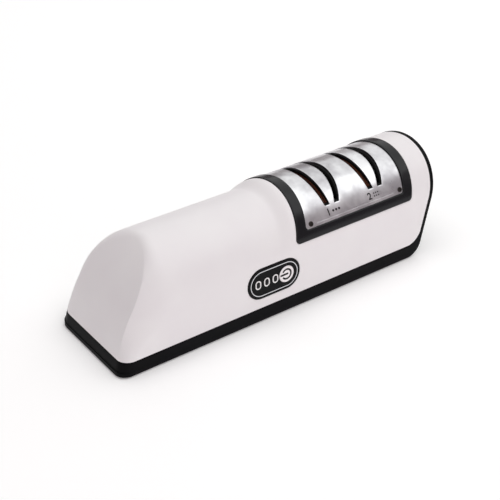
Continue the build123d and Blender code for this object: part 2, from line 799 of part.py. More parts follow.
# ---- shaft_bushes -----------------------------------------------------------------------
left_inner = left_bearing_x + bracket_thickness / 2
right_inner = right_bearing_x - bracket_thickness / 2
with BuildPart() as shaft_bushes:
    add(rod(left_face, left_inner + bush_flange, bush_radius, shaft_z, shaft_radius + running_gap))
    add(rod(left_inner, left_inner + bush_flange, bush_flange_radius, shaft_z, shaft_radius + running_gap))
    add(rod(right_inner - bush_flange, right_face, bush_radius, shaft_z, shaft_radius + running_gap))
    add(rod(right_inner - bush_flange, right_inner, bush_flange_radius, shaft_z,
            shaft_radius + running_gap))
shaft_bushes.part.label = "shaft_bushes"
export_step(shaft_bushes.part, "parts/shaft_bushes.step")

# ---- bearing brackets -------------------------------------------------------------------
for bracket_name, plate_x, foot_side in (("left_bracket", left_bearing_x, 1),
                                         ("right_bracket", right_bearing_x, -1)):
    with BuildPart() as bracket:
        with BuildSketch(across(plate_x - bracket_thickness / 2, 0, floor_top)):
            Rectangle(bracket_width, bracket_top - wall, align=(Align.CENTER, Align.MIN))
            with Locations((0, shaft_z - floor_top)):
                Circle(bush_radius + press_gap, mode=Mode.SUBTRACT)
        extrude(amount=bracket_thickness)
        foot_x = plate_x + foot_side * (bracket_thickness + bracket_foot) / 2
        with BuildSketch(Plane.XY.offset(floor_top)):
            with Locations((foot_x, 0)):
                Rectangle(bracket_foot, bracket_width)
            with Locations((foot_x, -bracket_screw_spread), (foot_x, bracket_screw_spread)):
                Circle(small_screw_radius + running_gap, mode=Mode.SUBTRACT)
        extrude(amount=bracket_foot_thickness)
    bracket.part.label = bracket_name
    export_step(bracket.part, f"parts/{bracket_name}.step")


# ---- gear and pinion --------------------------------------------------------------------
def toothed_wheel(teeth, bore, axis_z, start_angle):
    """Spur wheel with straight-flanked teeth, its axis along X."""
    pitch = gear_module * teeth / 2
    root = pitch - tooth_root_depth_ratio * gear_module
    foot = root - tooth_foot_ratio * gear_module
    tip = pitch + tooth_tip_height_ratio * gear_module
    half_root = tooth_root_half_ratio * gear_module
    half_pitch = tooth_pitch_half_ratio * gear_module
    half_tip = tooth_tip_half_ratio * gear_module
    tooth = [(foot, half_root), (foot, -half_root), (root, -half_root), (pitch, -half_pitch),
             (tip, -half_tip), (tip, half_tip), (pitch, half_pitch), (root, half_root)]
    with BuildPart() as wheel:
        with BuildSketch(across(gear_left, 0, axis_z)):
            Circle(root)
            with PolarLocations(0, teeth, start_angle):
                Polygon(*tooth, align=None)
            Circle(bore, mode=Mode.SUBTRACT)
        extrude(amount=gear_width)
    return wheel.part


with BuildPart() as drive_gear:
    add(toothed_wheel(gear_teeth, shaft_radius + press_gap, shaft_z, 0))
drive_gear.part.label = "drive_gear"
export_step(drive_gear.part, "parts/drive_gear.step")

with BuildPart() as motor_pinion:
    add(toothed_wheel(pinion_teeth, motor_shaft_radius + press_gap, motor_z, 180 / pinion_teeth))
motor_pinion.part.label = "motor_pinion"
export_step(motor_pinion.part, "parts/motor_pinion.step")

# ---- motor ------------------------------------------------------------------------------
bell_front_x = motor_back_x + end_bell_thickness
shaft_bore = motor_shaft_radius + running_gap
can_inner = motor_radius - motor_wall

with BuildPart() as motor_can:
    add(rod(bell_front_x, motor_front_x, motor_radius, motor_z))
    fillet(motor_can.faces().sort_by(Axis.X)[-1].edges(), motor_round)
    add(rod(motor_front_x - root_overlap, motor_front_x + motor_boss, motor_boss_radius, motor_z))
    add(rod(bell_front_x, motor_front_x - motor_front_wall, can_inner, motor_z), mode=Mode.SUBTRACT)
    add(rod(bell_front_x, motor_front_x + motor_boss, shaft_bore, motor_z), mode=Mode.SUBTRACT)
    with BuildSketch(across(motor_front_x - motor_front_wall, 0, motor_z)):
        with Locations((-motor_screw_spread, 0), (motor_screw_spread, 0)):
            Circle(small_screw_radius + running_gap)
    extrude(amount=motor_front_wall, mode=Mode.SUBTRACT)
motor_can.part.label = "motor_can"
export_step(motor_can.part, "parts/motor_can.step")

with BuildPart() as motor_end_bell:
    add(rod(motor_back_x, bell_front_x, motor_radius - end_bell_step, motor_z, shaft_bore))
    chamfer(motor_end_bell.faces().sort_by(Axis.X)[0].edges().sort_by(SortBy.RADIUS)[-1],
            end_bell_bevel)
motor_end_bell.part.label = "motor_end_bell"
export_step(motor_end_bell.part, "parts/motor_end_bell.step")

rotor_middle = (bell_front_x + motor_front_x - motor_front_wall) / 2
with BuildPart() as motor_rotor:
    with BuildSketch(across(rotor_middle - rotor_length / 2, 0, motor_z)):
        Circle(rotor_radius)
        with PolarLocations(rotor_radius, rotor_slots):
            Rectangle(2 * rotor_slot_depth, rotor_slot_width, mode=Mode.SUBTRACT)
        Circle(motor_shaft_radius + press_gap, mode=Mode.SUBTRACT)
    extrude(amount=rotor_length)
motor_rotor.part.label = "motor_rotor"
export_step(motor_rotor.part, "parts/motor_rotor.step")

with BuildPart() as motor_magnets:
    with BuildSketch(across(rotor_middle - rotor_length / 2, 0, motor_z)):
        Circle(can_inner)
        Circle(can_inner - magnet_thickness, mode=Mode.SUBTRACT)
        Rectangle(magnet_split, reach, mode=Mode.SUBTRACT)
    extrude(amount=rotor_length)
motor_magnets.part.label = "motor_magnets"
export_step(motor_magnets.part, "parts/motor_magnets.step")

with BuildPart() as motor_shaft:
    add(rod(motor_back_x + motor_shaft_short, gear_right + motor_shaft_out, motor_shaft_radius, motor_z))
motor_shaft.part.label = "motor_shaft"
export_step(motor_shaft.part, "parts/motor_shaft.step")

with BuildPart() as motor_bracket:
    with BuildSketch(across(motor_front_x, 0, floor_top)):
        Rectangle(mount_width, motor_z + motor_radius - floor_top, align=(Align.CENTER, Align.MIN))
        with Locations((0, motor_z - floor_top)):
            Circle(motor_boss_radius + running_gap, mode=Mode.SUBTRACT)
        with Locations((-motor_screw_spread, motor_z - floor_top), (motor_screw_spread, motor_z - floor_top)):
            Circle(small_screw_radius + running_gap, mode=Mode.SUBTRACT)
    extrude(amount=mount_thickness)
    with BuildSketch(Plane.XY.offset(floor_top)):
        with Locations((motor_front_x - bracket_foot / 2, 0)):
            Rectangle(bracket_foot, mount_width)
        with Locations(*bracket_screw_places[:2]):
            Circle(small_screw_radius + running_gap, mode=Mode.SUBTRACT)
    extrude(amount=mount_thickness)
motor_bracket.part.label = "motor_bracket"
export_step(motor_bracket.part, "parts/motor_bracket.step")

with BuildPart() as motor_screws:
    for side in (-1, 1):
        with BuildSketch(across(motor_front_x - motor_front_wall, side * motor_screw_spread, motor_z)):
            Circle(small_screw_radius)
        extrude(amount=motor_front_wall + mount_thickness)
        with BuildSketch(across(motor_front_x + mount_thickness, side * motor_screw_spread, motor_z)):
            Circle(small_head_radius)
        extrude(amount=small_head_height)
motor_screws.part.label = "motor_screws"
export_step(motor_screws.part, "parts/motor_screws.step")

with BuildPart() as bracket_screws:
    for number, place in enumerate(bracket_screw_places):
        seat = floor_top + (mount_thickness if number < 2 else bracket_foot_thickness)
        with BuildSketch(Plane.XY.offset(floor_top - pilot_depth)):
            with Locations(place):
                Circle(small_screw_radius)
        extrude(amount=seat - floor_top + pilot_depth)
        with BuildSketch(Plane.XY.offset(seat)):
            with Locations(place):
                Circle(small_head_radius)
        extrude(amount=small_head_height)
bracket_screws.part.label = "bracket_screws"
export_step(bracket_screws.part, "parts/bracket_screws.step")

# ---- battery ----------------------------------------------------------------------------
cell_end = cell_x + cell_length
with BuildPart() as battery_cell:
    add(rod(cell_x, cell_end - cell_nub, cell_radius, cell_z))
    fillet(battery_cell.edges(), cell_round)
    add(rod(cell_end - cell_nub - root_overlap, cell_end, cell_nub_radius, cell_z))
battery_cell.part.label = "battery_cell"
export_step(battery_cell.part, "parts/battery_cell.step")

with BuildPart() as battery_cradle:
    with BuildSketch(across(cell_x + cradle_margin, 0, floor_top)):
        Rectangle(cradle_width, cradle_height, align=(Align.CENTER, Align.MIN))
        with Locations((0, cell_z - floor_top)):
            Circle(cell_radius + running_gap, mode=Mode.SUBTRACT)
    extrude(amount=cell_length - 2 * cradle_margin)
battery_cradle.part.label = "battery_cradle"
export_step(battery_cradle.part, "parts/battery_cradle.step")

with BuildPart() as battery_tabs:
    for tab_x in (cell_x - tab_thickness, cell_end):
        with BuildSketch(across(tab_x, 0, cell_z)):
            with Locations((-tab_reach, 0)):
                Rectangle(tab_reach + tab_height / 2, tab_height, align=(Align.MIN, Align.CENTER))
        extrude(amount=tab_thickness)
battery_tabs.part.label = "battery_tabs"
export_step(battery_tabs.part, "parts/battery_tabs.step")

# ---- control_panel ----------------------------------------------------------------------
panel_seat = wall + panel_seat_gap
panel_back = panel_seat + panel_flange_thickness
window_places = [window_first_x + number * window_pitch for number in range(window_count)]


def window_bars(depth, length, grow, ear=0.0):
    """Upright stadium bars behind the three windows."""
    with BuildPart() as bars:
        for x in window_places:
            with BuildSketch(panel_plane(x, depth)):
                SlotOverall(window_height + 2 * (grow + ear), window_width + 2 * grow, rotation=90)
            extrude(amount=length)
    return bars.part


def round_bar(x, depth, length, radius):
    """Round bar square to the panel, from depth outward."""
    with BuildPart() as bar:
        with BuildSketch(panel_plane(x, depth)):
            Circle(radius)
        extrude(amount=length)
    return bar.part


with BuildPart() as trim_room:
    add(pill(panel_plane(panel_x, trim_depth - panel_proud), panel_half_length - trim_inset,
             panel_half_height - trim_inset, trim_depth))
    add(pill(panel_plane(panel_x, trim_depth - panel_proud), panel_half_length - trim_inset - trim_width,
             panel_half_height - trim_inset - trim_width, trim_depth), mode=Mode.SUBTRACT)

with BuildPart() as control_panel:
    add(pill(panel_plane(panel_x, panel_back), panel_half_length, panel_half_height,
             panel_back + panel_proud))
    add(pill(panel_plane(panel_x, panel_back), panel_half_length + panel_flange,
             panel_half_height + panel_flange, panel_flange_thickness))
    for side in (-1, 1):
        post_x = panel_x + side * post_spread
        add(round_bar(post_x, board_depth, board_depth - panel_back, post_radius))
        add(round_bar(post_x, board_depth + board_thickness + peg_out, board_thickness + peg_out,
                      peg_radius))
    add(round_bar(key_x, panel_back, panel_back + over, key_radius + fit_gap), mode=Mode.SUBTRACT)
    add(window_bars(panel_back, panel_back + over, running_gap), mode=Mode.SUBTRACT)
    add(trim_room.part, mode=Mode.SUBTRACT)
control_panel.part.label = "control_panel"
export_step(control_panel.part, "parts/control_panel.step")

with BuildPart() as panel_trim:
    add(trim_room.part)
panel_trim.part.label = "panel_trim"
export_step(panel_trim.part, "parts/panel_trim.step")

with BuildPart() as indicator_lenses:
    add(window_bars(panel_back, panel_back + panel_proud, 0.0))
    add(window_bars(panel_back + key_flange_thickness, key_flange_thickness, 0.0, lens_ear))
indicator_lenses.part.label = "indicator_lenses"
export_step(indicator_lenses.part, "parts/indicator_lenses.step")

# ---- power_key and switch ---------------------------------------------------------------
switch_front = board_depth - switch_height
key_stop = panel_back + side_gap
stem_end = switch_front - plunger_out
with BuildPart() as power_key:
    add(round_bar(key_x, key_stop + key_flange_thickness,
                  key_stop + key_flange_thickness + panel_proud + key_proud, key_radius))
    add(round_bar(key_x, key_stop + key_flange_thickness, key_flange_thickness, key_radius + key_flange))
    add(round_bar(key_x, stem_end, stem_end - key_stop, stem_radius))
power_key.part.label = "power_key"
export_step(power_key.part, "parts/power_key.step")

with BuildPart() as switch_plunger:
    add(round_bar(key_x, switch_front + plunger_in, plunger_in + plunger_out, plunger_radius))
switch_plunger.part.label = "switch_plunger"
export_step(switch_plunger.part, "parts/switch_plunger.step")

plunger_room = plunger_in + key_travel + plunger_spare
with BuildPart() as tact_switch:
    with BuildSketch(panel_plane(key_x, board_depth)):
        Rectangle(switch_size, switch_size)
    extrude(amount=switch_height)
    add(round_bar(key_x, switch_front + plunger_room, plunger_room + over, plunger_radius + plunger_gap),
        mode=Mode.SUBTRACT)
tact_switch.part.label = "tact_switch"
export_step(tact_switch.part, "parts/tact_switch.step")

# ---- control_board ----------------------------------------------------------------------
board_back = board_depth + board_thickness
with BuildPart() as control_board:
    with BuildSketch(panel_plane(panel_x, board_back)):
        Rectangle(2 * board_half_length, 2 * board_half_height)
        with Locations((-post_spread, 0), (post_spread, 0)):
            Circle(peg_radius + press_gap, mode=Mode.SUBTRACT)
    extrude(amount=board_thickness)
control_board.part.label = "control_board"
export_step(control_board.part, "parts/control_board.step")

with BuildPart() as led_chips:
    for x in window_places:
        with BuildSketch(panel_plane(x, board_depth)):
            Rectangle(led_width, led_length)
        extrude(amount=led_height)
led_chips.part.label = "led_chips"
export_step(led_chips.part, "parts/led_chips.step")

# ---- charging socket --------------------------------------------------------------------
with BuildPart() as charge_socket:
    add(pill(end_plane(charge_board_depth), socket_width / 2, socket_height / 2,
             charge_board_depth - socket_inset))
    add(pill(end_plane(charge_board_depth - socket_back), socket_width / 2 - socket_wall,
             socket_height / 2 - socket_wall, charge_board_depth), mode=Mode.SUBTRACT)
    with BuildSketch(end_plane(charge_board_depth - root_overlap)):
        Rectangle(socket_tongue_width, socket_tongue_height)
    extrude(amount=charge_board_depth - root_overlap - socket_inset - socket_tongue_inset)
charge_socket.part.label = "charge_socket"
export_step(charge_socket.part, "parts/charge_socket.step")

with BuildPart() as charge_board:
    with BuildSketch(end_plane(charge_board_depth + board_thickness)):
        Rectangle(charge_board_width, charge_board_height)
    extrude(amount=board_thickness)
charge_board.part.label = "charge_board"
export_step(charge_board.part, "parts/charge_board.step")


# ---- leads ------------------------------------------------------------------------------
def lead(points):
    """Insulated wire through the given points with rounded bends."""
    with BuildPart() as wire:
        with BuildLine() as path:
            FilletPolyline(*points, radius=lead_bend)
        with BuildSketch(Plane(path.line @ 0, z_dir=path.line % 0)):
            Circle(lead_radius)
        sweep()
    return wire.part


def board_end(x, level):
    """Last two points of a lead that meets the control board's back at the given x and height."""
    drop = Vector(0, level * tan(radians(side_draft)), level)
    tip = panel_plane(x, board_back + side_gap).origin + drop
    return [tip + Vector(0, lead_drop, 0), tip]


lead_offset = lead_radius + side_gap
strip_side = cell_end + tab_thickness + lead_offset      # lead soldered to the right strip
cell_side = -(cell_radius + 2 * lead_offset)             # lead that runs along the cell
first_end = board_end(panel_x - battery_lead_x, lead_pitch)
second_end = board_end(panel_x - battery_lead_x + lead_pitch, -lead_pitch)
with BuildPart() as battery_leads:
    add(lead([(strip_side, -tab_height / 2, cell_z + tab_height / 2),
              (strip_side, second_end[0].Y + lead_drop, cell_z + tab_height / 2)] + second_end))
    add(lead([(cell_x + lead_radius, cell_side, cell_z), (cell_end - cradle_margin, cell_side, cell_z)]
             + first_end))
battery_leads.part.label = "battery_leads"
export_step(battery_leads.part, "parts/battery_leads.step")

with BuildPart() as motor_leads:
    for number, side in enumerate((-1, 1)):
        finish = board_end(panel_x - motor_lead_x + number * motor_lead_pitch, motor_lead_height)
        turn_x = motor_back_x - lead_out
        start_z = motor_z + motor_terminal_height + number * motor_terminal_step
        add(lead([(motor_back_x, side * motor_terminal_y, start_z), (turn_x, side * motor_terminal_y, start_z),
                  (turn_x, finish[0].Y + lead_drop, finish[0].Z + number * motor_lead_rise)] + finish))
motor_leads.part.label = "motor_leads"
export_step(motor_leads.part, "parts/motor_leads.step")

board_inner = end_plane(charge_board_depth + board_thickness + lead_offset).origin
with BuildPart() as charge_leads:
    for number in range(2):
        finish = board_end(panel_x + charge_lead_x + number * charge_lead_pitch, -charge_lead_height)
        start_y = -(charge_terminal_y + number * charge_terminal_pitch)
        run_y = -(charge_run_y + number * charge_run_pitch)
        low = floor_top + charge_run
        add(lead([(board_inner.X, start_y, board_inner.Z), (board_inner.X - lead_out, start_y, board_inner.Z),
                  (board_inner.X - 2 * lead_out, run_y, low), (finish[0].X, run_y, low)] + finish))
charge_leads.part.label = "charge_leads"
export_step(charge_leads.part, "parts/charge_leads.step")
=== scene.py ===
import bmesh
import bpy
import math
import numpy as np
from mathutils import Matrix, Vector


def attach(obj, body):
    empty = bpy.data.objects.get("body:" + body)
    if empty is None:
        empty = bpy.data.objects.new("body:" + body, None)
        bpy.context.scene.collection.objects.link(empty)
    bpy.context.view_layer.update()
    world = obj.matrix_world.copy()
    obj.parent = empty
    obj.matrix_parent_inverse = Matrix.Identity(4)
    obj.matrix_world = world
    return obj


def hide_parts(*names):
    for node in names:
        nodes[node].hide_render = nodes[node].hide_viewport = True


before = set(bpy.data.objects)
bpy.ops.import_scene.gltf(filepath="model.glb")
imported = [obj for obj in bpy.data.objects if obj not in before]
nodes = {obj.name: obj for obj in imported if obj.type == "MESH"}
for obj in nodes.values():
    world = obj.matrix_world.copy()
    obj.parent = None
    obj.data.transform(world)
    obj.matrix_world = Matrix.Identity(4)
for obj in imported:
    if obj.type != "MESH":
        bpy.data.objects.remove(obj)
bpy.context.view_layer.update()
mm = 0.001
print("frame loaded")


def toLinear(hexColour):
    # each channel: below 0.04045 divided by 12.92, above it ((c + 0.055) / 1.055) to the power 2.4
    srgb = np.array([int(hexColour[i:i + 2], 16) for i in (1, 3, 5)]) / 255
    linear = np.where(srgb <= 0.04045, srgb / 12.92, ((srgb + 0.055) / 1.055) ** 2.4)
    return (*map(float, linear), 1.0)


def addNode(material, kind, settings=None, links=None):
    # one shader node: settings go to its properties or sockets, links are {own socket: source socket}
    node = material.node_tree.nodes.new(kind)
    for key, value in (settings or {}).items():
        if isinstance(key, str) and hasattr(node, key):
            setattr(node, key, value)
        else:
            node.inputs[key].default_value = value
    for key, source in (links or {}).items():
        material.node_tree.links.new(source, node.inputs[key])
    return node


def smooth(share):
    # 3 s squared minus 2 s cubed, held between 0 and 1
    held = np.clip(share, 0, 1)
    return held * held * (3 - 2 * held)


def ramp(start, end, count):
    # count + 1 evenly spaced values, both ends in
    return np.linspace(start, end, count + 1)


def gridFaces(shape, keep=None, flip=False, wrapRows=False, wrapColumns=False):
    # quads of a grid of points; they face along row step x column step, or against it when flipped
    index = np.arange(shape[0] * shape[1]).reshape(shape[:2])
    if wrapRows:
        index = np.vstack([index, index[:1]])
    if wrapColumns:
        index = np.hstack([index, index[:, :1]])
    quads = np.stack([index[:-1, :-1], index[1:, :-1], index[1:, 1:], index[:-1, 1:]], axis=-1)
    quads = quads[..., ::-1] if flip else quads
    return quads.reshape(-1, 4) if keep is None else quads[keep]


meshing = {"merge": 0.004, "sliver": 0.002, "edgeSegments": 2, "edgeAngle": 40.0, "wallSteps": 20,
           "slides": 4, "slideStep": 0.01, "leastSlope": 0.1}


def addObject(name, data):
    thing = bpy.data.objects.new(name, data)
    bpy.context.scene.collection.objects.link(thing)
    return thing


def openMesh(mesh, merge):
    # the mesh ready for editing, its points joined where they lie closer together than merge, in mm
    work = bmesh.new()
    work.from_mesh(mesh)
    bmesh.ops.remove_doubles(work, verts=work.verts, dist=merge * mm)
    return work


def closeMesh(work, mesh):
    work.to_mesh(mesh)
    work.free()
    return mesh


def joinParts(name, parts):
    # one mesh, open for editing, from a list of (points in mm, faces)
    points = np.concatenate([p.reshape(-1, 3) for p, f in parts]) * mm
    starts = np.cumsum([0] + [p.reshape(-1, 3).shape[0] for p, f in parts[:-1]])
    faces = [face for (p, f), start in zip(parts, starts) for face in (np.asarray(f) + start).tolist()]
    mesh = bpy.data.meshes.new(name)
    mesh.from_pydata(points.tolist(), [], faces)
    return mesh, openMesh(mesh, meshing["merge"])


def readPoints(mesh):
    points = np.zeros(len(mesh.vertices) * 3)
    mesh.vertices.foreach_get("co", points)
    return points.reshape(-1, 3) / mm


def placePiece(name, mesh, material, replaced, body="housing"):
    # gives the piece its finish and the body that it rides on, and hides the nodes that it stands for
    mesh.materials.clear()
    mesh.materials.append(material)
    piece = addObject(name, mesh)
    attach(piece, body)
    if replaced:
        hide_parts(*replaced)
    return piece


def addPiece(name, parts, material, replaced=(), body="housing", tidy=0.0):
    # tidy joins the points of open edges that lie closer together than that many mm
    mesh, work = joinParts(name, parts)
    if tidy:
        bmesh.ops.remove_doubles(work, verts=[v for v in work.verts if v.is_boundary], dist=tidy * mm)
    bmesh.ops.dissolve_degenerate(work, edges=work.edges, dist=meshing["sliver"] * mm)
    bmesh.ops.delete(work, geom=[v for v in work.verts if not v.link_faces], context="VERTS")
    return placePiece(name, closeMesh(work, mesh), material, replaced, body)


def solvedMesh(thing):
    # the object's shape as a mesh of its own, with its modifiers worked out
    bpy.context.view_layer.update()
    return bpy.data.meshes.new_from_object(thing.evaluated_get(bpy.context.evaluated_depsgraph_get()))


def finishPiece(piece, wall=0.0, bevel=0.0, cutter=None, sharpDegrees=35.0):
    # gives a skin its wall, cuts it, rounds its edges, and keeps the result as the piece's own mesh
    if wall:
        solid = piece.modifiers.new("wall", "SOLIDIFY")
        solid.thickness = wall * mm
        solid.offset = -1
        solid.vertex_group = "wall" if piece.vertex_groups else ""
    if cutter:
        cut = piece.modifiers.new("cut", "BOOLEAN")
        cut.object = cutter
        cut.solver = "EXACT"
    if bevel:
        edge = piece.modifiers.new("edge", "BEVEL")
        edge.width = bevel * mm
        edge.segments = meshing["edgeSegments"]
        edge.limit_method = "ANGLE"
        edge.angle_limit = math.radians(meshing["edgeAngle"])
    mesh = solvedMesh(piece)
    mesh.name = piece.name
    piece.modifiers.clear()
    piece.data = mesh
    mesh.shade_smooth()
    mesh.set_sharp_from_angle(angle=math.radians(sharpDegrees))
    if cutter:
        bpy.data.objects.remove(cutter)
    print(piece.name, "made with", len(mesh.polygons), "faces")


def thinWall(piece, weights):
    # share of the wall's full thickness at each point, in even steps
    group, count = piece.vertex_groups.new(name="wall"), meshing["wallSteps"]
    steps = np.round(np.clip(weights, 1 / count, 1) * count).astype(int)
    for step in np.unique(steps):
        group.add(np.flatnonzero(steps == step).tolist(), float(step) / count, "REPLACE")


def addCutter(parts):
    # closed solids that a piece is cut with; they are gone once it is cut
    mesh, work = joinParts("cutter", parts)
    bmesh.ops.recalc_face_normals(work, faces=work.faces)
    return addObject("cutter", closeMesh(work, mesh))


def touching(cells):
    # points of a grid that touch at least one of the marked cells
    padded = np.pad(cells, 1)
    return padded[:-1, :-1] | padded[1:, :-1] | padded[:-1, 1:] | padded[1:, 1:]


def trimGrid(u, v, distance):
    # keeps the cells whose middle has a negative distance, and slides the points between kept and
    # dropped cells along the distance's slope until it is zero, so that the cut edge is exact
    middles = [(g[:-1, :-1] + g[1:, :-1] + g[:-1, 1:] + g[1:, 1:]) / 4 for g in (u, v)]
    keep = distance(*middles) < 0
    onEdge = touching(keep) & touching(~keep)
    step = meshing["slideStep"]
    for slide in range(meshing["slides"]):
        gap = distance(u, v)
        slopeU = (distance(u + step, v) - distance(u - step, v)) / (2 * step)
        slopeV = (distance(u, v + step) - distance(u, v - step)) / (2 * step)
        size = np.maximum(slopeU**2 + slopeV**2, meshing["leastSlope"])
        u = np.where(onEdge, u - gap * slopeU / size, u)
        v = np.where(onEdge, v - gap * slopeV / size, v)
    return u, v, keep


def lathe(profile, centre, axis, side, count=48):
    # turns a profile of (distance along the axis, radius) pairs about the axis;
    # the points lie at centre + along * axis + radius * (cos t * side + sin t * (axis x side))
    profile = np.array(profile, float)
    axis, side = np.array(axis, float), np.array(side, float)
    third = np.cross(axis, side)
    t = ramp(0, 2 * np.pi, count)[:-1, None, None]
    points = (np.array(centre, float) + profile[None, :, :1] * axis
              + profile[None, :, 1:] * (np.cos(t) * side + np.sin(t) * third))
    return points, gridFaces(points.shape, wrapRows=True)


bodyShape = {
    "halfLength": 105.288, "baseHalf": 32.0, "sideDraft": 3.3, "headLean": 16.2,
    "leftLean": 13.0, "leftCurve": 100.0,
    "bodySpring": 26.0, "bodyCrown": 54.6, "headSpring": 30.8, "headCrown": 57.4,
    "riseStart": -18.39, "riseEnd": -9.39, "frameLeft": -8.19, "frameRight": 72.61,
    "shellEnd": 86.21, "faceEnd": 88.61, "band": 7.6, "underside": 0.8,
}
draft = math.radians(bodyShape["sideDraft"])
headLean = math.radians(bodyShape["headLean"])
headSlope = math.tan(headLean)
bodyPlace, headPlace = np.array(-90.0), np.array(0.0)    # anywhere along the low body, and along the head


def archAt(x0):
    # height of the arch's centre, its rise, its half width and the angle at which its ellipse
    # meets the leaning side; x0 is the place along the body, taken down the lean to the underside
    s = bodyShape
    share = smooth((x0 - s["riseStart"]) / (s["riseEnd"] - s["riseStart"]))
    spring = s["bodySpring"] + (s["headSpring"] - s["bodySpring"]) * share
    rise = s["bodyCrown"] + (s["headCrown"] - s["bodyCrown"]) * share - spring
    support = s["baseHalf"] * math.cos(draft) - spring * math.sin(draft)
    width = np.sqrt(support**2 - (rise * math.sin(draft)) ** 2) / math.cos(draft)
    start = np.arctan2(rise * math.sin(draft), width * math.cos(draft))
    return spring, rise, width, start


def bodyPoint(x0, level, side):
    # half width at a height: the leaning side below the tangent point, above it
    # width times the square root of 1 - ((level - spring) / rise) squared
    spring, rise, width, start = archAt(x0)
    lift = np.clip((level - spring) / rise, -1, 1)
    leaning = bodyShape["baseHalf"] - level * math.tan(draft)
    half = np.where(lift > np.sin(start), width * np.sqrt(1 - lift**2), leaning)
    return np.stack([x0 + headSlope * level, side * half + 0 * x0,
                     level + bodyShape["underside"] + 0 * x0], -1)


def rowLevel(x0, row, low):
    # rows 0 to 1 climb the side from low to the tangent point, rows 1 to 2 go over the ellipse
    spring, rise, width, start = archAt(x0)
    tangent = spring + rise * np.sin(start)
    onSide = low + (tangent - low) * np.clip(row, 0, 1)
    onCap = spring + rise * np.sin(start + (np.pi / 2 - start) * np.clip(row - 1, 0, 1))
    return np.where(row <= 1, onSide, onCap)


leftRim = {
    "frontRadius": 6.2, "backRadius": 9.5, "ridgeRadius": 8.5, "ridgeFrom": 42.0,
    "crease": 52.0, "creaseLevels": (6.0, 22.0), "stretch": 1.1, "steps": 8,
}


def leftEnd(level):
    # side view of the left end, an arc that leans more as it rises: sin(lean) = sin(first) + level / r,
    # x = r * (cos(first) - cos(lean)) from the underside's edge
    first, radius = math.radians(bodyShape["leftLean"]), bodyShape["leftCurve"]
    lean = np.arcsin(math.sin(first) + level / radius)
    return -bodyShape["halfLength"] + radius * (math.cos(first) - np.cos(lean)), lean


def rimPoint(level, share, side):
    # round between the left end face and the arch, for each height a conic of weight w:
    # ((1-t)^2 inner + 2 w t (1-t) corner + t^2 outer) / ((1-t)^2 + 2 w t (1-t) + t^2),
    # w = cos((turn - crease) / 2); on the front side the round leaves the end face at a crease, which
    # fades out towards the base and the ridge
    spring, rise, width, start = archAt(bodyPlace)
    x, lean = leftEnd(level)
    edge = bodyPoint(x - headSlope * level, level, side)
    sharp = np.where((level - spring) / rise > np.sin(start),
                     np.arcsin(np.clip((level - spring) / rise, -1, 1)), start)
    normalY, normalZ = np.cos(sharp) / width, np.sin(sharp) / rise
    size = np.hypot(normalY, normalZ)
    normalY, normalZ = normalY / size, normalZ / size
    turn = np.arccos(np.sin(lean) * normalZ)
    grown = smooth((level - leftRim["ridgeFrom"]) / (bodyShape["bodyCrown"] - leftRim["ridgeFrom"]))
    lowRadius, crease = leftRim["backRadius"], 0 * level
    if side < 0:
        lowRadius, (first, full) = leftRim["frontRadius"], leftRim["creaseLevels"]
        crease = math.radians(leftRim["crease"]) * smooth((level - first) / (full - first)) * (1 - grown)
    radius = lowRadius + (leftRim["ridgeRadius"] - lowRadius) * grown
    reach = radius * np.tan(turn / 2)
    slope = np.tan(lean)
    alongX = slope * normalY / np.sqrt((slope**2 + 1) * normalY**2 + normalZ**2)
    back = (reach / np.sqrt(1 - alongX**2))[..., None] * np.array([1.0, 0, 0])
    bend = np.tan(crease)[..., None]
    corner, outer = edge + bend * back, edge + (1 + leftRim["stretch"] * bend) * back
    swing = (sharp - start) * (np.pi / 2) / (np.pi / 2 - start)
    inward = np.stack([-np.sin(swing) * np.sin(lean), -side * np.cos(swing),
                       -np.sin(swing) * np.cos(lean)], -1)
    inner = edge + reach[..., None] * inward
    t = share[..., None]
    weight = np.cos((turn - crease) / 2)[..., None]
    top = (1 - t) ** 2 * inner + 2 * weight * t * (1 - t) * corner + t**2 * outer
    return top / ((1 - t) ** 2 + 2 * weight * t * (1 - t) + t**2)


def cornerMiddle(edge, level, radius, side):
    # place along the body of a round corner's middle; side is 1 where the corner ends in a right edge
    return edge + headSlope * level - side * radius / math.cos(headLean)


def cornerGap(x, level, centreX, centreLevel, radius, side):
    # whether a point is in the wedge between a round corner's tangent points, and how far outside
    # the corner's circle it lies
    dx, dl = x - centreX, level - centreLevel
    inWedge = (side * dx > 0) & (dx * math.sin(headLean) + dl * math.cos(headLean) < 0)
    return inWedge, np.hypot(dx, dl) - radius


def windowGap(x0, level, left, right, sill, radius):
    # below zero inside the window over the head, whose ends lean and whose lower corners are round
    x = x0 + headSlope * level
    gap = np.maximum(np.maximum(left - x0, x0 - right) * math.cos(headLean), sill - level)
    for edge, side in ((left, -1), (right, 1)):
        centreX = cornerMiddle(edge, sill + radius, radius, side)
        inWedge, beyond = cornerGap(x, level, centreX, sill + radius, radius, side)
        gap = np.where(inWedge, beyond, gap)
    return gap


def pillGap(x, level, centre, halfLength, halfHeight):
    # below zero inside a pill shape lying along X
    beyond = np.maximum(np.abs(x - centre[0]) - (halfLength - halfHeight), 0)
    return np.hypot(beyond, level - centre[1]) - halfHeight


def newMaterial(name, sockets):
    # a Principled surface whose plain sockets are set directly
    material = bpy.data.materials.new(name)
    material.use_nodes = True
    shader = material.node_tree.nodes["Principled BSDF"]
    for key, value in sockets.items():
        shader.inputs[key].default_value = value
    return material, shader


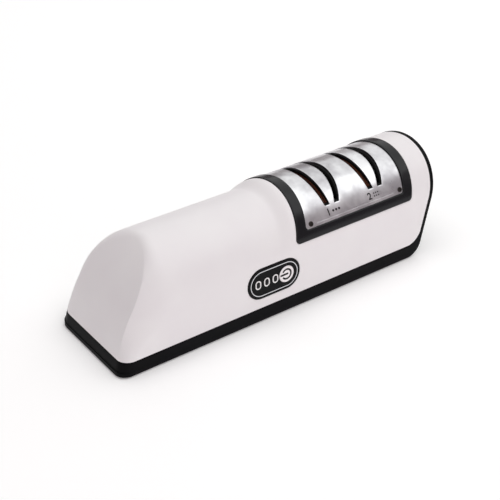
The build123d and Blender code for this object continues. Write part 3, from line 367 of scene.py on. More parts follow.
def addSurface(name, sockets, shades, stops, roughness, spread, bump, patterns, stretch=None,
               kind="ShaderNodeTexNoise", output="Fac"):
    # patterns on the object's own coordinates: the first goes from the darker shade to the lighter
    # between its stops, the middle one through the roughness, and the last one raises the surface
    # by the bump's strength and height in mm
    material, shader = newMaterial(name, sockets)
    place = addNode(material, "ShaderNodeTexCoord").outputs["Object"]
    if stretch:
        place = addNode(material, "ShaderNodeMapping", {"Scale": stretch}, {"Vector": place}).outputs[0]
    made = [addNode(material, kind, settings, {"Vector": place}).outputs[output] for settings in patterns]
    tint = addNode(material, "ShaderNodeValToRGB", {}, {"Fac": made[0]})
    for element, stop, shade in zip(tint.color_ramp.elements, stops, shades):
        element.position = stop
        element.color = toLinear(shade)
    rough = addNode(material, "ShaderNodeMapRange",
                    {"To Min": roughness - spread, "To Max": roughness + spread},
                    {"Value": made[len(made) // 2]})
    relief = addNode(material, "ShaderNodeBump", {"Strength": bump[0], "Distance": bump[1] * mm},
                     {"Height": made[-1]})
    sources = {"Base Color": tint.outputs["Color"], "Roughness": rough.outputs["Result"],
               "Normal": relief.outputs["Normal"]}
    for socket, source in sources.items():
        material.node_tree.links.new(source, shader.inputs[socket])
    return material


def mouldedPlastic(name, colour, shadeColour, roughness, spread, grainMm, grainDepthMm, specular=0.5):
    # injection moulded plastic: faint cloudy colour, spark-eroded mould texture, uneven satin
    clouds = {"Scale": 45.0, "Detail": 3.0}    # about 22 mm wide
    grain = {"Scale": 1000 / (2 * grainMm), "Detail": 2.0, "Roughness": 0.6}
    return addSurface(name, {"IOR": 1.53, "Specular IOR Level": specular}, (shadeColour, colour),
                      (0.3, 0.7), roughness, spread, (0.35, grainDepthMm), [clouds, grain])


def workedMetal(name, colour, darkColour, roughness, spread, lineMm, alongMm):
    # worked metal: fine lines along X, which give a long soft highlight
    return addSurface(name, {"Metallic": 1.0}, (darkColour, colour), (0.3, 0.7), roughness, spread,
                      (0.2, 0.01), [{"Scale": 1.0, "Detail": 4.0}],
                      (1000 / alongMm, 1000 / lineMm, 1000 / lineMm))


def satinSheet(name, colour, darkColour, cloudMm, roughness, spread):
    # tumble-polished stainless sheet: soft cloudy brightness about a finger wide, faint handling
    # haze, and a very shallow waviness that breaks up what it mirrors
    clouds = {"Scale": 1000 / cloudMm, "Detail": 3.0, "Roughness": 0.55}
    haze = {"Scale": 1000 / 3.5, "Detail": 2.0}    # 3.5 mm wide
    waves = {"Scale": 1000 / 9.0, "Detail": 1.0}    # 9 mm wide
    return addSurface(name, {"Metallic": 1.0}, (darkColour, colour), (0.36, 0.62), roughness, spread,
                      (0.4, 0.5), [clouds, haze, waves])


def gritWheel(name, bondColour, gritColour, gritMm):
    # abrasive grains held in a copper bond: reddish matt metal sprinkled with darker, rougher grains
    roughness, spread = 0.575, -0.125    # a grain's middle is the roughest
    return addSurface(name, {"Metallic": 0.7}, (gritColour, bondColour), (0.15, 0.6), roughness, spread,
                      (0.6, gritMm * 0.3), [{"Scale": 1000 / gritMm}],
                      kind="ShaderNodeTexVoronoi", output="Distance")


# moulded plastics: an eroded mould leaves a soft satin, a polished one a clear gloss
whiteAbs = mouldedPlastic("mouldedAbsWarmWhite", "#F4F1F2", "#F1EDEF", 0.42, 0.05, 0.25, 0.012)
blackAbs = mouldedPlastic("mouldedAbsBlack", "#0A0A0C", "#0E0E11", 0.45, 0.06, 0.30, 0.02, 0.06)
polishedBlackAbs = mouldedPlastic("polishedAbsBlack", "#0A0A0E", "#0E0E14", 0.20, 0.03, 1.2, 0.006, 0.28)
panelFilm = mouldedPlastic("mattBlackPanelFilm", "#09090B", "#0C0C0F", 0.34, 0.04, 0.4, 0.006, 0.09)
rubber = mouldedPlastic("mouldedRubberBlack", "#161616", "#1C1C1C", 0.75, 0.08, 0.4, 0.03)
nylon = mouldedPlastic("mouldedNylonBlack", "#0B0B0B", "#101010", 0.5, 0.06, 0.5, 0.02, 0.12)
acetal = mouldedPlastic("mouldedAcetalWhite", "#E6E3DA", "#DEDACF", 0.35, 0.05, 0.5, 0.01)
keyWhite = mouldedPlastic("mouldedKeyWhite", "#FAF6F7", "#F5F1F2", 0.28, 0.03, 0.5, 0.004)
printWhite = mouldedPlastic("padPrintedWhiteInk", "#F4F2F2", "#E9E7E7", 0.5, 0.05, 0.3, 0.01)
printBlack = mouldedPlastic("padPrintedBlackInk", "#0D0B0C", "#151213", 0.5, 0.05, 0.3, 0.01, 0.2)
smokedLens = mouldedPlastic("smokedPolycarbonate", "#0E0E12", "#131317", 0.16, 0.02, 1.0, 0.002, 0.15)
sleeve = mouldedPlastic("pvcLeadSleeve", "#8E1C1A", "#7C1614", 0.45, 0.05, 0.5, 0.01)
shrinkWrap = mouldedPlastic("cellShrinkWrap", "#2C6FA8", "#28659B", 0.3, 0.04, 1.0, 0.01)
solderMask = mouldedPlastic("greenSolderMask", "#12532C", "#0F4826", 0.35, 0.05, 0.3, 0.01)
ledResin = mouldedPlastic("castLedResin", "#E9E1C4", "#E1D8B6", 0.2, 0.03, 0.5, 0.003)
# metals: tumbled and ground ones shine, plated and sintered ones stay duller
polishedSteel = satinSheet("tumblePolishedStainless", "#E9E9EB", "#B0AEB2", 17.0, 0.29, 0.04)
etchedSteel = mouldedPlastic("laserBlackenedSteel", "#2B282A", "#1E1C1D", 0.55, 0.06, 0.2, 0.006, 0.3)
zincSteel = workedMetal("zincPlatedSteel", "#B9BCC0", "#A2A5AA", 0.32, 0.06, 0.2, 0.6)
# painted shade: the screws' zinc-plated steel is darkened to stand in for the shadowed countersunk ring
# around each head
zincWithPaintedRecessShade = workedMetal("zincSteelWithPaintedRecessShade", "#4B4644", "#332F2E", 0.36, 0.06, 0.2, 0.6)
groundSteel = workedMetal("groundSteelRod", "#B4B4B8", "#9A9A9E", 0.25, 0.05, 0.1, 4.0)
nickel = workedMetal("nickelPlate", "#C9C2B2", "#B7B0A0", 0.22, 0.04, 0.2, 1.0)
chromeTrim = workedMetal("satinChrome", "#D9D9DC", "#C6C6CA", 0.18, 0.04, 0.2, 2.0)
bronze = workedMetal("sinteredBronze", "#9C7146", "#80592F", 0.5, 0.08, 0.3, 0.3)
ferrite = workedMetal("sinteredFerrite", "#3A3A3D", "#2C2C2F", 0.6, 0.08, 0.3, 0.3)
laminatedIron = workedMetal("laminatedIron", "#6A6A6C", "#4E4E50", 0.4, 0.08, 0.2, 8.0)
brassTurned = workedMetal("turnedBrass", "#C8A04E", "#AC853A", 0.28, 0.05, 0.15, 2.0)
coarseGrit = gritWheel("coarseGritInCopperBond", "#7A4631", "#382018", 0.45)
fineGrit = gritWheel("fineGritInCopperBond", "#845039", "#48291B", 0.25)

nodeFinishes = [
    (whiteAbs, "upper_shell"), (blackAbs, "base_tray"), (polishedBlackAbs, "slot_frame"),
    (panelFilm, "control_panel"), (rubber, "rubber_feet"), (polishedSteel, "guide_cover"),
    (zincWithPaintedRecessShade, "cover_screws"), (bronze, "shaft_bushes"), (ferrite, "motor_magnets"),
    (shrinkWrap, "battery_cell"), (chromeTrim, "panel_trim"), (smokedLens, "indicator_lenses"),
    (ledResin, "led_chips"), (coarseGrit, "coarse_disc"), (fineGrit, "fine_disc"),
    (acetal, "drive_gear"), (laminatedIron, "motor_rotor"), (brassTurned, "motor_pinion"),
    (keyWhite, "power_key"), (nickel, "battery_tabs charge_socket"),
    (solderMask, "control_board charge_board"), (sleeve, "battery_leads motor_leads charge_leads"),
    (groundSteel, "disc_shaft shaft_clips motor_shaft"),
    (zincSteel, "base_screws motor_can motor_bracket motor_screws bracket_screws disc_hubs disc_clamps"),
    (nylon, "blade_guide left_bracket right_bracket motor_end_bell battery_cradle tact_switch"),
    (nylon, "switch_plunger"),
]
for material, names in nodeFinishes:
    for name in names.split():
        nodes[name].data.materials.clear()
        nodes[name].data.materials.append(material)
print("materials assigned")

shellSizes = {
    "seam": 0.08, "wall": 2.2, "edgeRound": 0.3, "sideRows": 24, "capRows": 46, "faceColumns": 28,
    "sill": 35.5, "windowCorner": 2.5, "endCorner": 10.5, "panelMiddle": (-12.44, 21.8),
    "panelHalf": (16.8, 8.85), "near": -38.0, "nearColumns": 24, "columns": (20, 12, 2, 70, 14),
    "seamMerge": 0.2,
}


def climbRows(sideRows):
    return np.concatenate([ramp(0, 1, sideRows), 1 + ramp(0, 1, shellSizes["capRows"])[1:]])


def bodyRows():
    # rows up the side and over the cap, with one row on the window's sill along the head
    spring, rise, width, start = archAt(headPlace)
    rows = climbRows(shellSizes["sideRows"])
    sillRow = 1 + (math.asin((shellSizes["sill"] - spring) / rise) - start) / (np.pi / 2 - start)
    rows[np.argmin(np.abs(rows - sillRow))] = sillRow
    return rows


def shellSide(side):
    # one half of the shell: the rim at the left end, then the body, the rise and the head
    s = shellSizes
    low, rows = bodyShape["band"] + s["seam"], bodyRows()
    level = rowLevel(bodyPlace, rows, low)
    rim = rimPoint(level[:, None], ramp(0, 1, leftRim["steps"])[None, :], side)
    rimEnd = rim[:, -1, 0] - headSlope * level
    near, far = s["near"], bodyShape["shellEnd"] - s["seam"]
    stops = [near, *(bodyShape[key] for key in ("riseStart", "riseEnd", "frameLeft", "frameRight")), far]
    straight = rimEnd[:, None] + (near - rimEnd)[:, None] * ramp(0, 1, s["nearColumns"])[None, :]
    further = np.concatenate([ramp(a, b, n)[1:] for a, b, n in zip(stops, stops[1:], s["columns"])])
    x0 = np.hstack([straight, np.broadcast_to(further, (len(rows), len(further)))])
    levels = rowLevel(x0, rows[:, None], low)
    corner = s["endCorner"]
    cornerLevel = bodyShape["band"] + corner
    cornerX = cornerMiddle(far, cornerLevel, corner, 1)

    def outside(u, v):
        x = u + headSlope * v
        gap = -windowGap(u, v, bodyShape["frameLeft"], bodyShape["frameRight"], s["sill"],
                         s["windowCorner"])
        inWedge, beyond = cornerGap(x, v, cornerX, cornerLevel, corner, 1)
        gap = np.maximum(gap, np.where(inWedge, beyond, -corner))
        if side < 0:
            gap = np.maximum(gap, -pillGap(x, v, s["panelMiddle"], *s["panelHalf"]))
        return gap

    x0, levels, keep = trimGrid(x0, levels, outside)
    body = bodyPoint(x0, levels, side)
    return [(rim, gridFaces(rim.shape, flip=side < 0)), (body, gridFaces(body.shape, keep, side < 0))], level


def chords(front, back, count):
    # straight lines from the front points to the back points, closer together near both ends
    share = ((1 - np.cos(ramp(0, np.pi, count))) / 2)[None, :, None]
    return front[:, None] * (1 - share) + back[:, None] * share


frontSide, shellLevels = shellSide(-1)
backSide, shellLevels = shellSide(1)
faceEdges = [rimPoint(shellLevels, np.zeros_like(shellLevels), side) for side in (-1, 1)]
leftFace = chords(*faceEdges, shellSizes["faceColumns"])
shellSkin = addPiece("shellSkin", frontSide + backSide + [(leftFace, gridFaces(leftFace.shape))],
                     whiteAbs, ["upper_shell"], tidy=shellSizes["seamMerge"])
finishPiece(shellSkin, shellSizes["wall"], shellSizes["edgeRound"])

traySizes = {
    "wall": 2.2, "edgeRound": 0.5, "faceCorner": 10.0, "shellCorner": 10.5, "strips": 4,
    "cornerRows": 12, "sideRows": 16, "columns": 40, "acrossColumns": 28, "thinFrom": 1.5,
    "footRecess": (5.05, 1.0), "feet": [(-88.0, 21.0), (60.01, 21.0)],
    "screwRecess": (2.65, 3.2), "screws": [(-69.99, 25.0), (72.01, 25.0)],
    "socketLevel": 16.0, "socketHalf": (4.6, 1.75), "socketDepth": (-4.0, 2.0), "holeSteps": 40,
}


def trayPath(end, corner, base):
    # side-view line of the tray's edge: level, round at the lower right corner, then up to the ridge
    centreLevel = base + corner
    centreX = cornerMiddle(end, centreLevel, corner, 1)
    turn = ramp(-np.pi / 2, -headLean, traySizes["cornerRows"])
    roundX, roundLevel = centreX + corner * np.cos(turn), centreLevel + corner * np.sin(turn)
    rows = climbRows(traySizes["sideRows"])
    upLevel = rowLevel(np.full(rows.shape, end), rows, roundLevel[-1])
    return (np.concatenate([roundX - headSlope * roundLevel, np.full(len(rows) - 1, end)]),
            np.concatenate([roundLevel, upLevel[1:]]))


def trayStrip(side):
    # the black band along one side, drawn between its lower and its upper edge line
    s = traySizes
    across = ramp(0, 1, s["strips"])[:, None]
    outer = trayPath(bodyShape["faceEnd"], s["faceCorner"], 0.0)
    inner = trayPath(bodyShape["shellEnd"], s["shellCorner"], bodyShape["band"])
    turnX, turnLevel = (a + (b - a) * across for a, b in zip(outer, inner))
    low = bodyShape["band"] * across
    rim = rimPoint(low, ramp(0, 1, leftRim["steps"])[None, :], side)
    rimEnd = rim[:, -1:, 0] - headSlope * low
    share = ramp(0, 1, s["columns"])[None, :-1]
    x0 = np.hstack([rimEnd + (turnX[:, :1] - rimEnd) * share, turnX])
    level = np.hstack([low + 0 * share, turnLevel])
    return rim, bodyPoint(x0, level, side)


def trayRecess(place, radius, depth):
    # round hole from below the underside up to its depth
    profile = [(-1.0, 0), (-1.0, radius), (depth, radius), (depth, 0)]
    return lathe(profile, (*place, bodyShape["underside"]), (0, 0, 1), (1, 0, 0), traySizes["holeSteps"])


def pillPrism(origin, along, up, halfLength, halfHeight, front, back):
    # stadium outline in the plane of along and up, carried from front to back along their normal
    normal = np.cross(along, up)
    turn = ramp(0, 2 * np.pi, traySizes["holeSteps"])[:-1]
    a = halfHeight * np.cos(turn) + np.where(np.cos(turn) >= 0, 1, -1) * (halfLength - halfHeight)
    ring = (np.array(origin) + a[:, None] * np.array(along)
            + (halfHeight * np.sin(turn))[:, None] * np.array(up))
    middle = np.repeat(np.array([origin], float), len(turn), axis=0)
    points = np.stack([middle + front * normal, ring + front * normal, ring + back * normal,
                       middle + back * normal], 1)
    return points, gridFaces(points.shape, wrapRows=True)


frontRim, frontBand = trayStrip(-1)
backRim, backBand = trayStrip(1)
leftBand = chords(frontRim[:, 0], backRim[:, 0], traySizes["acrossColumns"])
baseEdges = [np.vstack([rim[0, :-1], band[0]]) for rim, band in ((frontRim, frontBand), (backRim, backBand))]
underside = chords(*baseEdges, traySizes["acrossColumns"])
traySurfaces = [(frontRim, True), (frontBand, True), (backRim, False), (backBand, False),
                (leftBand, False), (underside, True)]
traySkin = addPiece("traySkin", [(grid, gridFaces(grid.shape, flip=flip)) for grid, flip in traySurfaces],
                    blackAbs, ["base_tray"])
spots = readPoints(traySkin.data) - (0, 0, bodyShape["underside"])
spring, rise, width, start = archAt(headPlace)
room = spring + rise * np.sqrt(np.maximum(1 - (spots[:, 1] / width) ** 2, 0)) - spots[:, 2]
onFace = spots[:, 0] - headSlope * spots[:, 2] > bodyShape["faceEnd"] - 0.01
thinWall(traySkin, np.where(onFace, room / traySizes["thinFrom"], 1.0))    # thins to the leaning end's ridge
holes = [trayRecess((x, side * y), *traySizes[kind]) for kind, places in
         (("footRecess", traySizes["feet"]), ("screwRecess", traySizes["screws"]))
         for x, y in places for side in (-1, 1)]
socketLevel = traySizes["socketLevel"]
endUp = np.array([math.sin(headLean), 0, math.cos(headLean)])
socketMiddle = np.array([bodyShape["faceEnd"] + headSlope * socketLevel, 0,
                         socketLevel + bodyShape["underside"]])
holes.append(pillPrism(socketMiddle, (0, 1, 0), endUp, *traySizes["socketHalf"], *traySizes["socketDepth"]))
finishPiece(traySkin, traySizes["wall"], traySizes["edgeRound"], addCutter(holes))


def headLine(steps=1500):
    # the head's outline from the ridge down one side: distance along it, level, half width, normal
    spring, rise, width, start = archAt(headPlace)
    turn = ramp(np.pi / 2, start, steps)
    half, level = width * np.cos(turn), spring + rise * np.sin(turn)
    normalY, normalZ = np.cos(turn) / width, np.sin(turn) / rise
    size = np.hypot(normalY, normalZ)
    distance = np.concatenate([[0], np.cumsum(np.hypot(np.diff(half), np.diff(level)))])
    return distance, level, half, normalY / size, normalZ / size


headDistance, headLevel, headHalf, headNormalY, headNormalZ = headLine()


def levelToArc(level):
    # distance from the ridge, along the outline, at which the head has this level
    return np.interp(-np.asarray(level, float), -headLevel, headDistance)


def arcToLevel(arc, height=0.0):
    # level of the point that stands this far off the head's surface
    distance = np.abs(arc)
    return (np.interp(distance, headDistance, headLevel)
            + height * np.interp(distance, headDistance, headNormalZ))


def headPoint(x, arc, height):
    # point off the head's surface; the distance from the ridge is negative on the front
    distance = np.abs(arc)
    half = (np.interp(distance, headDistance, headHalf)
            + height * np.interp(distance, headDistance, headNormalY))
    level = arcToLevel(arc, height)
    return np.stack([x + 0 * level, np.sign(arc) * half, level + bodyShape["underside"]], -1)


frameSizes = {"gap": 0.15, "arm": 6.6, "sillWidth": 5.4, "corner": 2.5, "innerCorner": 1.5,
              "proud": 0.498, "edgeWide": 1.1, "edgeFall": 0.5, "wallDepth": 2.0, "cornerSteps": 8,
              "sillSteps": 64, "archSteps": 44, "edgeSteps": 7, "flatSteps": 6}


def windowLine(left, right, sill, radius):
    # half of a leaning window's edge, from the ridge at the left down, along the sill and up again
    turning, along, rising = (frameSizes[key] for key in ("cornerSteps", "sillSteps", "archSteps"))
    centreLevel = sill + radius
    leftX = cornerMiddle(left, centreLevel, radius, -1)
    rightX = cornerMiddle(right, centreLevel, radius, 1)
    firstTurn = ramp(np.pi - headLean, 1.5 * np.pi, turning)
    lastTurn = ramp(1.5 * np.pi, 2 * np.pi - headLean, turning)
    x = np.concatenate([leftX + radius * np.cos(firstTurn), ramp(leftX, rightX, along)[1:-1],
                        rightX + radius * np.cos(lastTurn)])
    level = np.concatenate([centreLevel + radius * np.sin(firstTurn), np.full(along - 1, sill),
                            centreLevel + radius * np.sin(lastTurn)])
    x0, arc = x - headSlope * level, levelToArc(level)
    down, upward = ramp(0, arc[0], rising)[:-1], ramp(arc[-1], 0, rising)[1:]
    return (np.concatenate([np.full(rising, left), x0, np.full(rising, right)]),
            np.concatenate([down, arc, upward]))


def frameRing():
    # closed loop with a flat section whose two edges fall as quarter ellipses:
    # proud - fall * (1 - sqrt(1 - (1 - distance / wide)^2))
    s, left, right, sill = frameSizes, bodyShape["frameLeft"], bodyShape["frameRight"], shellSizes["sill"]
    outer = windowLine(left + s["gap"], right - s["gap"], sill + s["gap"], s["corner"])
    inner = windowLine(left + s["arm"], right - s["arm"], sill + s["sillWidth"], s["innerCorner"])
    turn = ramp(0, np.pi / 2, s["edgeSteps"])
    edge = s["edgeWide"] / s["arm"] * (1 - np.cos(turn))
    fall = s["edgeFall"] * (1 - np.sin(turn))
    flat = ramp(edge[-1], 1 - edge[-1], s["flatSteps"])[1:-1]
    across = np.concatenate([[0], edge, flat, 1 - edge[::-1], [1]])
    height = s["proud"] - np.concatenate([[0], fall, 0 * flat, fall[::-1], [0]])
    height[[0, -1]] = -s["wallDepth"]
    x0, arc = (a[:, None] * (1 - across) + b[:, None] * across for a, b in zip(outer, inner))
    x0, arc = np.vstack([x0, x0[-2:0:-1]]), np.vstack([-arc, arc[-2:0:-1]])
    points = headPoint(x0 + headSlope * arcToLevel(arc, height), arc, height + 0 * arc)
    return points, gridFaces(points.shape, wrapRows=True, wrapColumns=True)


finishPiece(addPiece("frameRing", [frameRing()], polishedBlackAbs, ["slot_frame"]),
            sharpDegrees=50)

coverSizes = {
    "drop": 0.2, "thickness": 1.0, "gap": 0.15, "corner": 1.5, "edgeRound": 0.14,
    "slots": [(27.96, -4.0), (37.26, 32.5), (57.96, -4.0), (67.26, 32.5)], "slotLevel": 52.0,
    "foot": 47.9, "footHalf": 1.7, "topHalf": 2.45, "topLevel": 59.9,
    "grooveLevel": 42.6, "grooveHalf": 0.16, "grooveDepth": 0.12, "grooveEnds": (17.5, 72.0),
    "grooveFade": 1.5, "grooveRows": (-1.6, -1, -0.4, 0.4, 1, 1.6),
    "columns": [20, 4, 7, 4, 24, 4, 7, 4, 20], "cornerRows": 9, "footRows": 8, "crownRows": 40,
}


def coverSheet():
    # the sheet in rows around the arch; its columns run along the slots' edges
    s = coverSizes
    left = bodyShape["frameLeft"] + frameSizes["arm"] + s["gap"]
    right = bodyShape["frameRight"] - frameSizes["arm"] - s["gap"]
    sill = shellSizes["sill"] + frameSizes["sillWidth"] + s["gap"]
    radius, drop = s["corner"], -s["drop"]
    leftTop, rightTop = radius * (1 + math.sin(headLean)), radius * (1 - math.sin(headLean))
    cornerLevels = sill + leftTop * (1 - np.cos(ramp(0, np.pi / 2, s["cornerRows"])))
    groove = s["grooveLevel"] + s["grooveHalf"] * np.array(s["grooveRows"])
    lowLevels = np.unique(np.concatenate([cornerLevels, groove, [sill + rightTop]]).round(3))
    lowArc = levelToArc(np.append(lowLevels, s["foot"]))
    arc = np.concatenate([lowArc[:-1], ramp(lowArc[-2], lowArc[-1], s["footRows"])[1:],
                          ramp(lowArc[-1], 0, s["crownRows"])[1:]])
    footRow = len(lowLevels) + s["footRows"] - 1
    arc = np.concatenate([-arc, arc[-2::-1]])
    level, held = arcToLevel(arc, drop), arcToLevel(arc)
    side = np.sqrt(np.maximum(radius**2 - (sill + radius - held) ** 2, 0))
    leftX, rightX = left + headSlope * level, right + headSlope * level
    leftX = np.where(held < sill + leftTop, cornerMiddle(left, sill + radius, radius, -1) - side, leftX)
    rightX = np.where(held < sill + rightTop, cornerMiddle(right, sill + radius, radius, 1) + side, rightX)
    used = np.maximum(level, s["foot"])
    half = s["footHalf"] + (s["topHalf"] - s["footHalf"]) * (used - s["foot"]) / (s["topLevel"] - s["foot"])
    edges = [leftX]
    for place, tilt in s["slots"]:
        middle = place + (used - s["slotLevel"]) * math.tan(math.radians(tilt))
        edges += [middle - half, middle + half]
    edges.append(rightX)
    x = np.hstack([leftX[:, None]] + [a[:, None] + (b - a)[:, None] * ramp(0, 1, n)[None, 1:]
                                      for a, b, n in zip(edges, edges[1:], s["columns"])])
    keep = np.ones((x.shape[0] - 1, x.shape[1] - 1), bool)
    first = np.cumsum([0] + s["columns"])
    for slot in range(1, len(s["columns"]), 2):
        keep[footRow:len(arc) - 1 - footRow, first[slot]:first[slot + 1]] = False
    (start, end), fade, reach = s["grooveEnds"], s["grooveFade"], s["grooveRows"][-1]
    dip = np.clip((reach - np.abs(held - s["grooveLevel"]) / s["grooveHalf"]) / (reach - 1), 0, 1)
    dip = dip[:, None] * smooth((x - start) / fade) * smooth((end - x) / fade)
    points = headPoint(x, arc[:, None] + 0 * x, drop - s["grooveDepth"] * dip)
    return points, gridFaces(points.shape, keep, flip=True)


finishPiece(addPiece("steelCover", [coverSheet()], polishedSteel, ["guide_cover"]),
            coverSizes["thickness"], coverSizes["edgeRound"])

screwSizes = {"radius": 1.45, "dome": 0.42, "domeShare": 0.75, "lift": 0.03, "cross": 1.1,
              "crossHalf": 0.24, "crossDepth": 0.3, "crossSlope": 0.1, "shank": 0.7, "length": 2.6,
              "level": 43.0, "places": (14.46, 76.3), "rings": 22, "around": 72}


def screwHead(x, side):
    # domed head on a plain shank, with a cross pressed into it: the dome's share falls as
    # sqrt(1 - (r / radius)^2) and the rest stands upright at the rim
    s = screwSizes
    radius = np.concatenate([ramp(0, s["radius"], s["rings"]), [s["shank"], s["shank"], 0]])
    turn = ramp(0, 2 * np.pi, s["around"])[:-1, None]
    a, b = radius * np.cos(turn), radius * np.sin(turn)
    dome = (s["dome"] * np.sqrt(np.maximum(1 - (radius / s["radius"]) ** 2, 0)) * s["domeShare"]
            + s["dome"] * (1 - s["domeShare"]))
    arm = np.minimum(np.maximum(np.abs(a) - s["cross"], np.abs(b) - s["crossHalf"]),
                     np.maximum(np.abs(b) - s["cross"], np.abs(a) - s["crossHalf"]))
    height = s["lift"] + dome - s["crossDepth"] * smooth(-arm / s["crossSlope"] + 0.5)
    height[:, s["rings"]:] = [s["lift"], s["lift"], -s["length"], -s["length"]]
    arc = levelToArc(s["level"])
    normal = headPoint(0.0, side * arc, 1.0) - headPoint(0.0, side * arc, 0.0)
    base = headPoint(x, side * arc, -coverSizes["drop"])
    points = (base + a[..., None] * np.array([1.0, 0, 0]) + b[..., None] * np.cross(normal, (1, 0, 0))
              + height[..., None] * normal)
    return points, gridFaces(points.shape, wrapRows=True, flip=True)


heads = [screwHead(x, side) for x in screwSizes["places"] for side in (-1, 1)]
# the heads' dark colour is painted shade of the recess around them
finishPiece(addPiece("coverScrewHeads", heads, zincWithPaintedRecessShade, ["cover_screws"]), sharpDegrees=30)

markSizes = {
    "level": 45.1, "height": 3.9, "lift": 0.03, "depth": 0.02, "figureShift": (4.1, 0), "bolder": 0.11,
    "heightShare": 0.72, "longest": 0.5, "divisions": 4, "dotSteps": 20,
    "stages": {"stageOneMark": (31.4, "1", 0.68, [(-1.0, 0), (1.0, 0), (3.0, 0)]),
               "stageTwoMark": (59.8, "2", 0.42, [(-0.9, 0.8), (0.5, 0.8), (1.9, 0.8),
                                                  (-0.9, -0.8), (0.5, -0.8), (1.9, -0.8)])},
}


def figureShape(text, height):
    # flat figure as points and faces in mm, its middle at the origin
    curve = bpy.data.curves.new("figure", "FONT")
    curve.body = text
    curve.size = height / markSizes["heightShare"] * mm
    curve.resolution_u = 6
    curve.offset = markSizes["bolder"] * mm
    holder = addObject("figure", curve)
    mesh = solvedMesh(holder)
    bpy.data.objects.remove(holder)
    work = openMesh(mesh, meshing["merge"])
    for division in range(markSizes["divisions"]):    # small faces, so that the figure can lie on the arch
        long = [edge for edge in work.edges if edge.calc_length() > markSizes["longest"] * mm]
        bmesh.ops.subdivide_edges(work, edges=long, cuts=1)
        bmesh.ops.triangulate(work, faces=work.faces)
    closeMesh(work, mesh)
    points = readPoints(mesh)[:, :2]
    points -= (points.min(0) + points.max(0)) / 2
    corners = np.zeros(len(mesh.polygons) * 3, int)
    mesh.polygons.foreach_get("vertices", corners)
    return points, corners.reshape(-1, 3)


def dotShape(place, radius):
    # filled circle: rings of points about its place
    turn, away = ramp(0, 2 * np.pi, markSizes["dotSteps"])[:-1, None], ramp(0, radius, 2)[None, :]
    points = np.stack([place[0] + away * np.cos(turn), place[1] + away * np.sin(turn)], -1)
    return points, gridFaces(points.shape, wrapRows=True, flip=True)


for name, (x, figure, radius, dots) in markSizes["stages"].items():
    points, faces = figureShape(figure, markSizes["height"])
    shapes = [(points - markSizes["figureShift"], faces)] + [dotShape(place, radius) for place in dots]
    shapes = [(flat.reshape(-1, 2), faces) for flat, faces in shapes]
    middle, lift = levelToArc(markSizes["level"]), markSizes["lift"] - coverSizes["drop"]
    parts = [(headPoint(x + flat[:, 0], flat[:, 1] - middle, lift + 0 * flat[:, 1]), faces)
             for flat, faces in shapes]
    finishPiece(addPiece(name, parts, etchedSteel), markSizes["depth"])

panelSizes = {
    "middle": shellSizes["panelMiddle"], "half": (16.65, 8.7), "proud": 0.35, "thickness": 1.3,
    "edge": 0.3, "margin": 0.15, "cells": (120, 64), "trimInset": 1.6, "trimWidth": 0.45,
    "trimLift": 0.04, "windows": [-22.69, -17.24, -11.79], "windowHalf": (1.8, 2.5),
    "ringWidth": 0.68, "ringLift": 0.05, "ringDepth": 0.1, "ringSteps": 96,
    "keyMiddle": -4.49, "keyRadius": 4.7, "keyGap": 0.15,
}


def frontPoint(x, level, height):
    # point off the front side, height measured square to the leaning side
    return (bodyPoint(x - headSlope * level, level, -1)
            + np.asarray(height)[..., None] * np.array([0, -math.cos(draft), math.sin(draft)]))


def uprightPill(x, level, middleX, halfWide, halfHigh):
    # below zero inside a pill shape standing up from side to side of the panel's middle line
    return pillGap(level, x, (panelSizes["middle"][1], middleX), halfHigh, halfWide)


def panelPlate():
    # plate cut from a fine grid; its height falls along the edge as a quarter round of radius r:
    # height - r + sqrt(r^2 - (r - distance)^2)
    s = panelSizes
    middle, half = s["middle"], s["half"]
    x, level = np.meshgrid(*(place + ramp(-reach - s["margin"], reach + s["margin"], count)
                             for place, reach, count in zip(middle, half, s["cells"])))

    def outside(u, v):
        gap = pillGap(u, v, middle, *half)
        for place in s["windows"]:
            gap = np.maximum(gap, -uprightPill(u, v, place, *s["windowHalf"]))
        keyHole = s["keyRadius"] + s["keyGap"]
        return np.maximum(gap, keyHole - np.hypot(u - s["keyMiddle"], v - middle[1]))

    x, level, keep = trimGrid(x, level, outside)
    radius = s["edge"]
    inside = np.clip(-pillGap(x, level, middle, *half), 0, radius)
    fall = radius - np.sqrt(radius**2 - (radius - inside) ** 2)
    points = frontPoint(x, level, s["proud"] - fall)
    return points, gridFaces(points.shape, keep, flip=True)


def pillRing(middleX, halfLength, halfHeight, inset, width, lift, upright=False):
    # thin flat ring between a pill outline and the same outline moved inward
    s = panelSizes
    turn = ramp(0, 2 * np.pi, s["ringSteps"])[:-1, None]
    drop = s["ringDepth"] * np.array([0, 0, 1, 1])[None, :]
    away = np.array([inset, inset + width, inset + width, inset])[None, :]
    shift = np.where(np.cos(turn) >= 0, 1, -1) * (halfLength - halfHeight)
    along = shift + (halfHeight - away) * np.cos(turn)
    across = (halfHeight - away) * np.sin(turn)
    a, b = (across, along) if upright else (along, across)
    points = frontPoint(middleX + a, s["middle"][1] + b, s["proud"] + lift - drop)
    return points, gridFaces(points.shape, flip=upright, wrapRows=True, wrapColumns=True)


finishPiece(addPiece("panelPlate", [panelPlate()], panelFilm, ["control_panel"]),
            panelSizes["thickness"])
trimRing = pillRing(panelSizes["middle"][0], *panelSizes["half"], panelSizes["trimInset"],
                    panelSizes["trimWidth"], panelSizes["trimLift"])
finishPiece(addPiece("trimLine", [trimRing], chromeTrim, ["panel_trim"]))
rings = [pillRing(place, *panelSizes["windowHalf"][::-1], 0.0, panelSizes["ringWidth"],
                  panelSizes["ringLift"], True) for place in panelSizes["windows"]]
finishPiece(addPiece("lampRings", rings, printWhite))

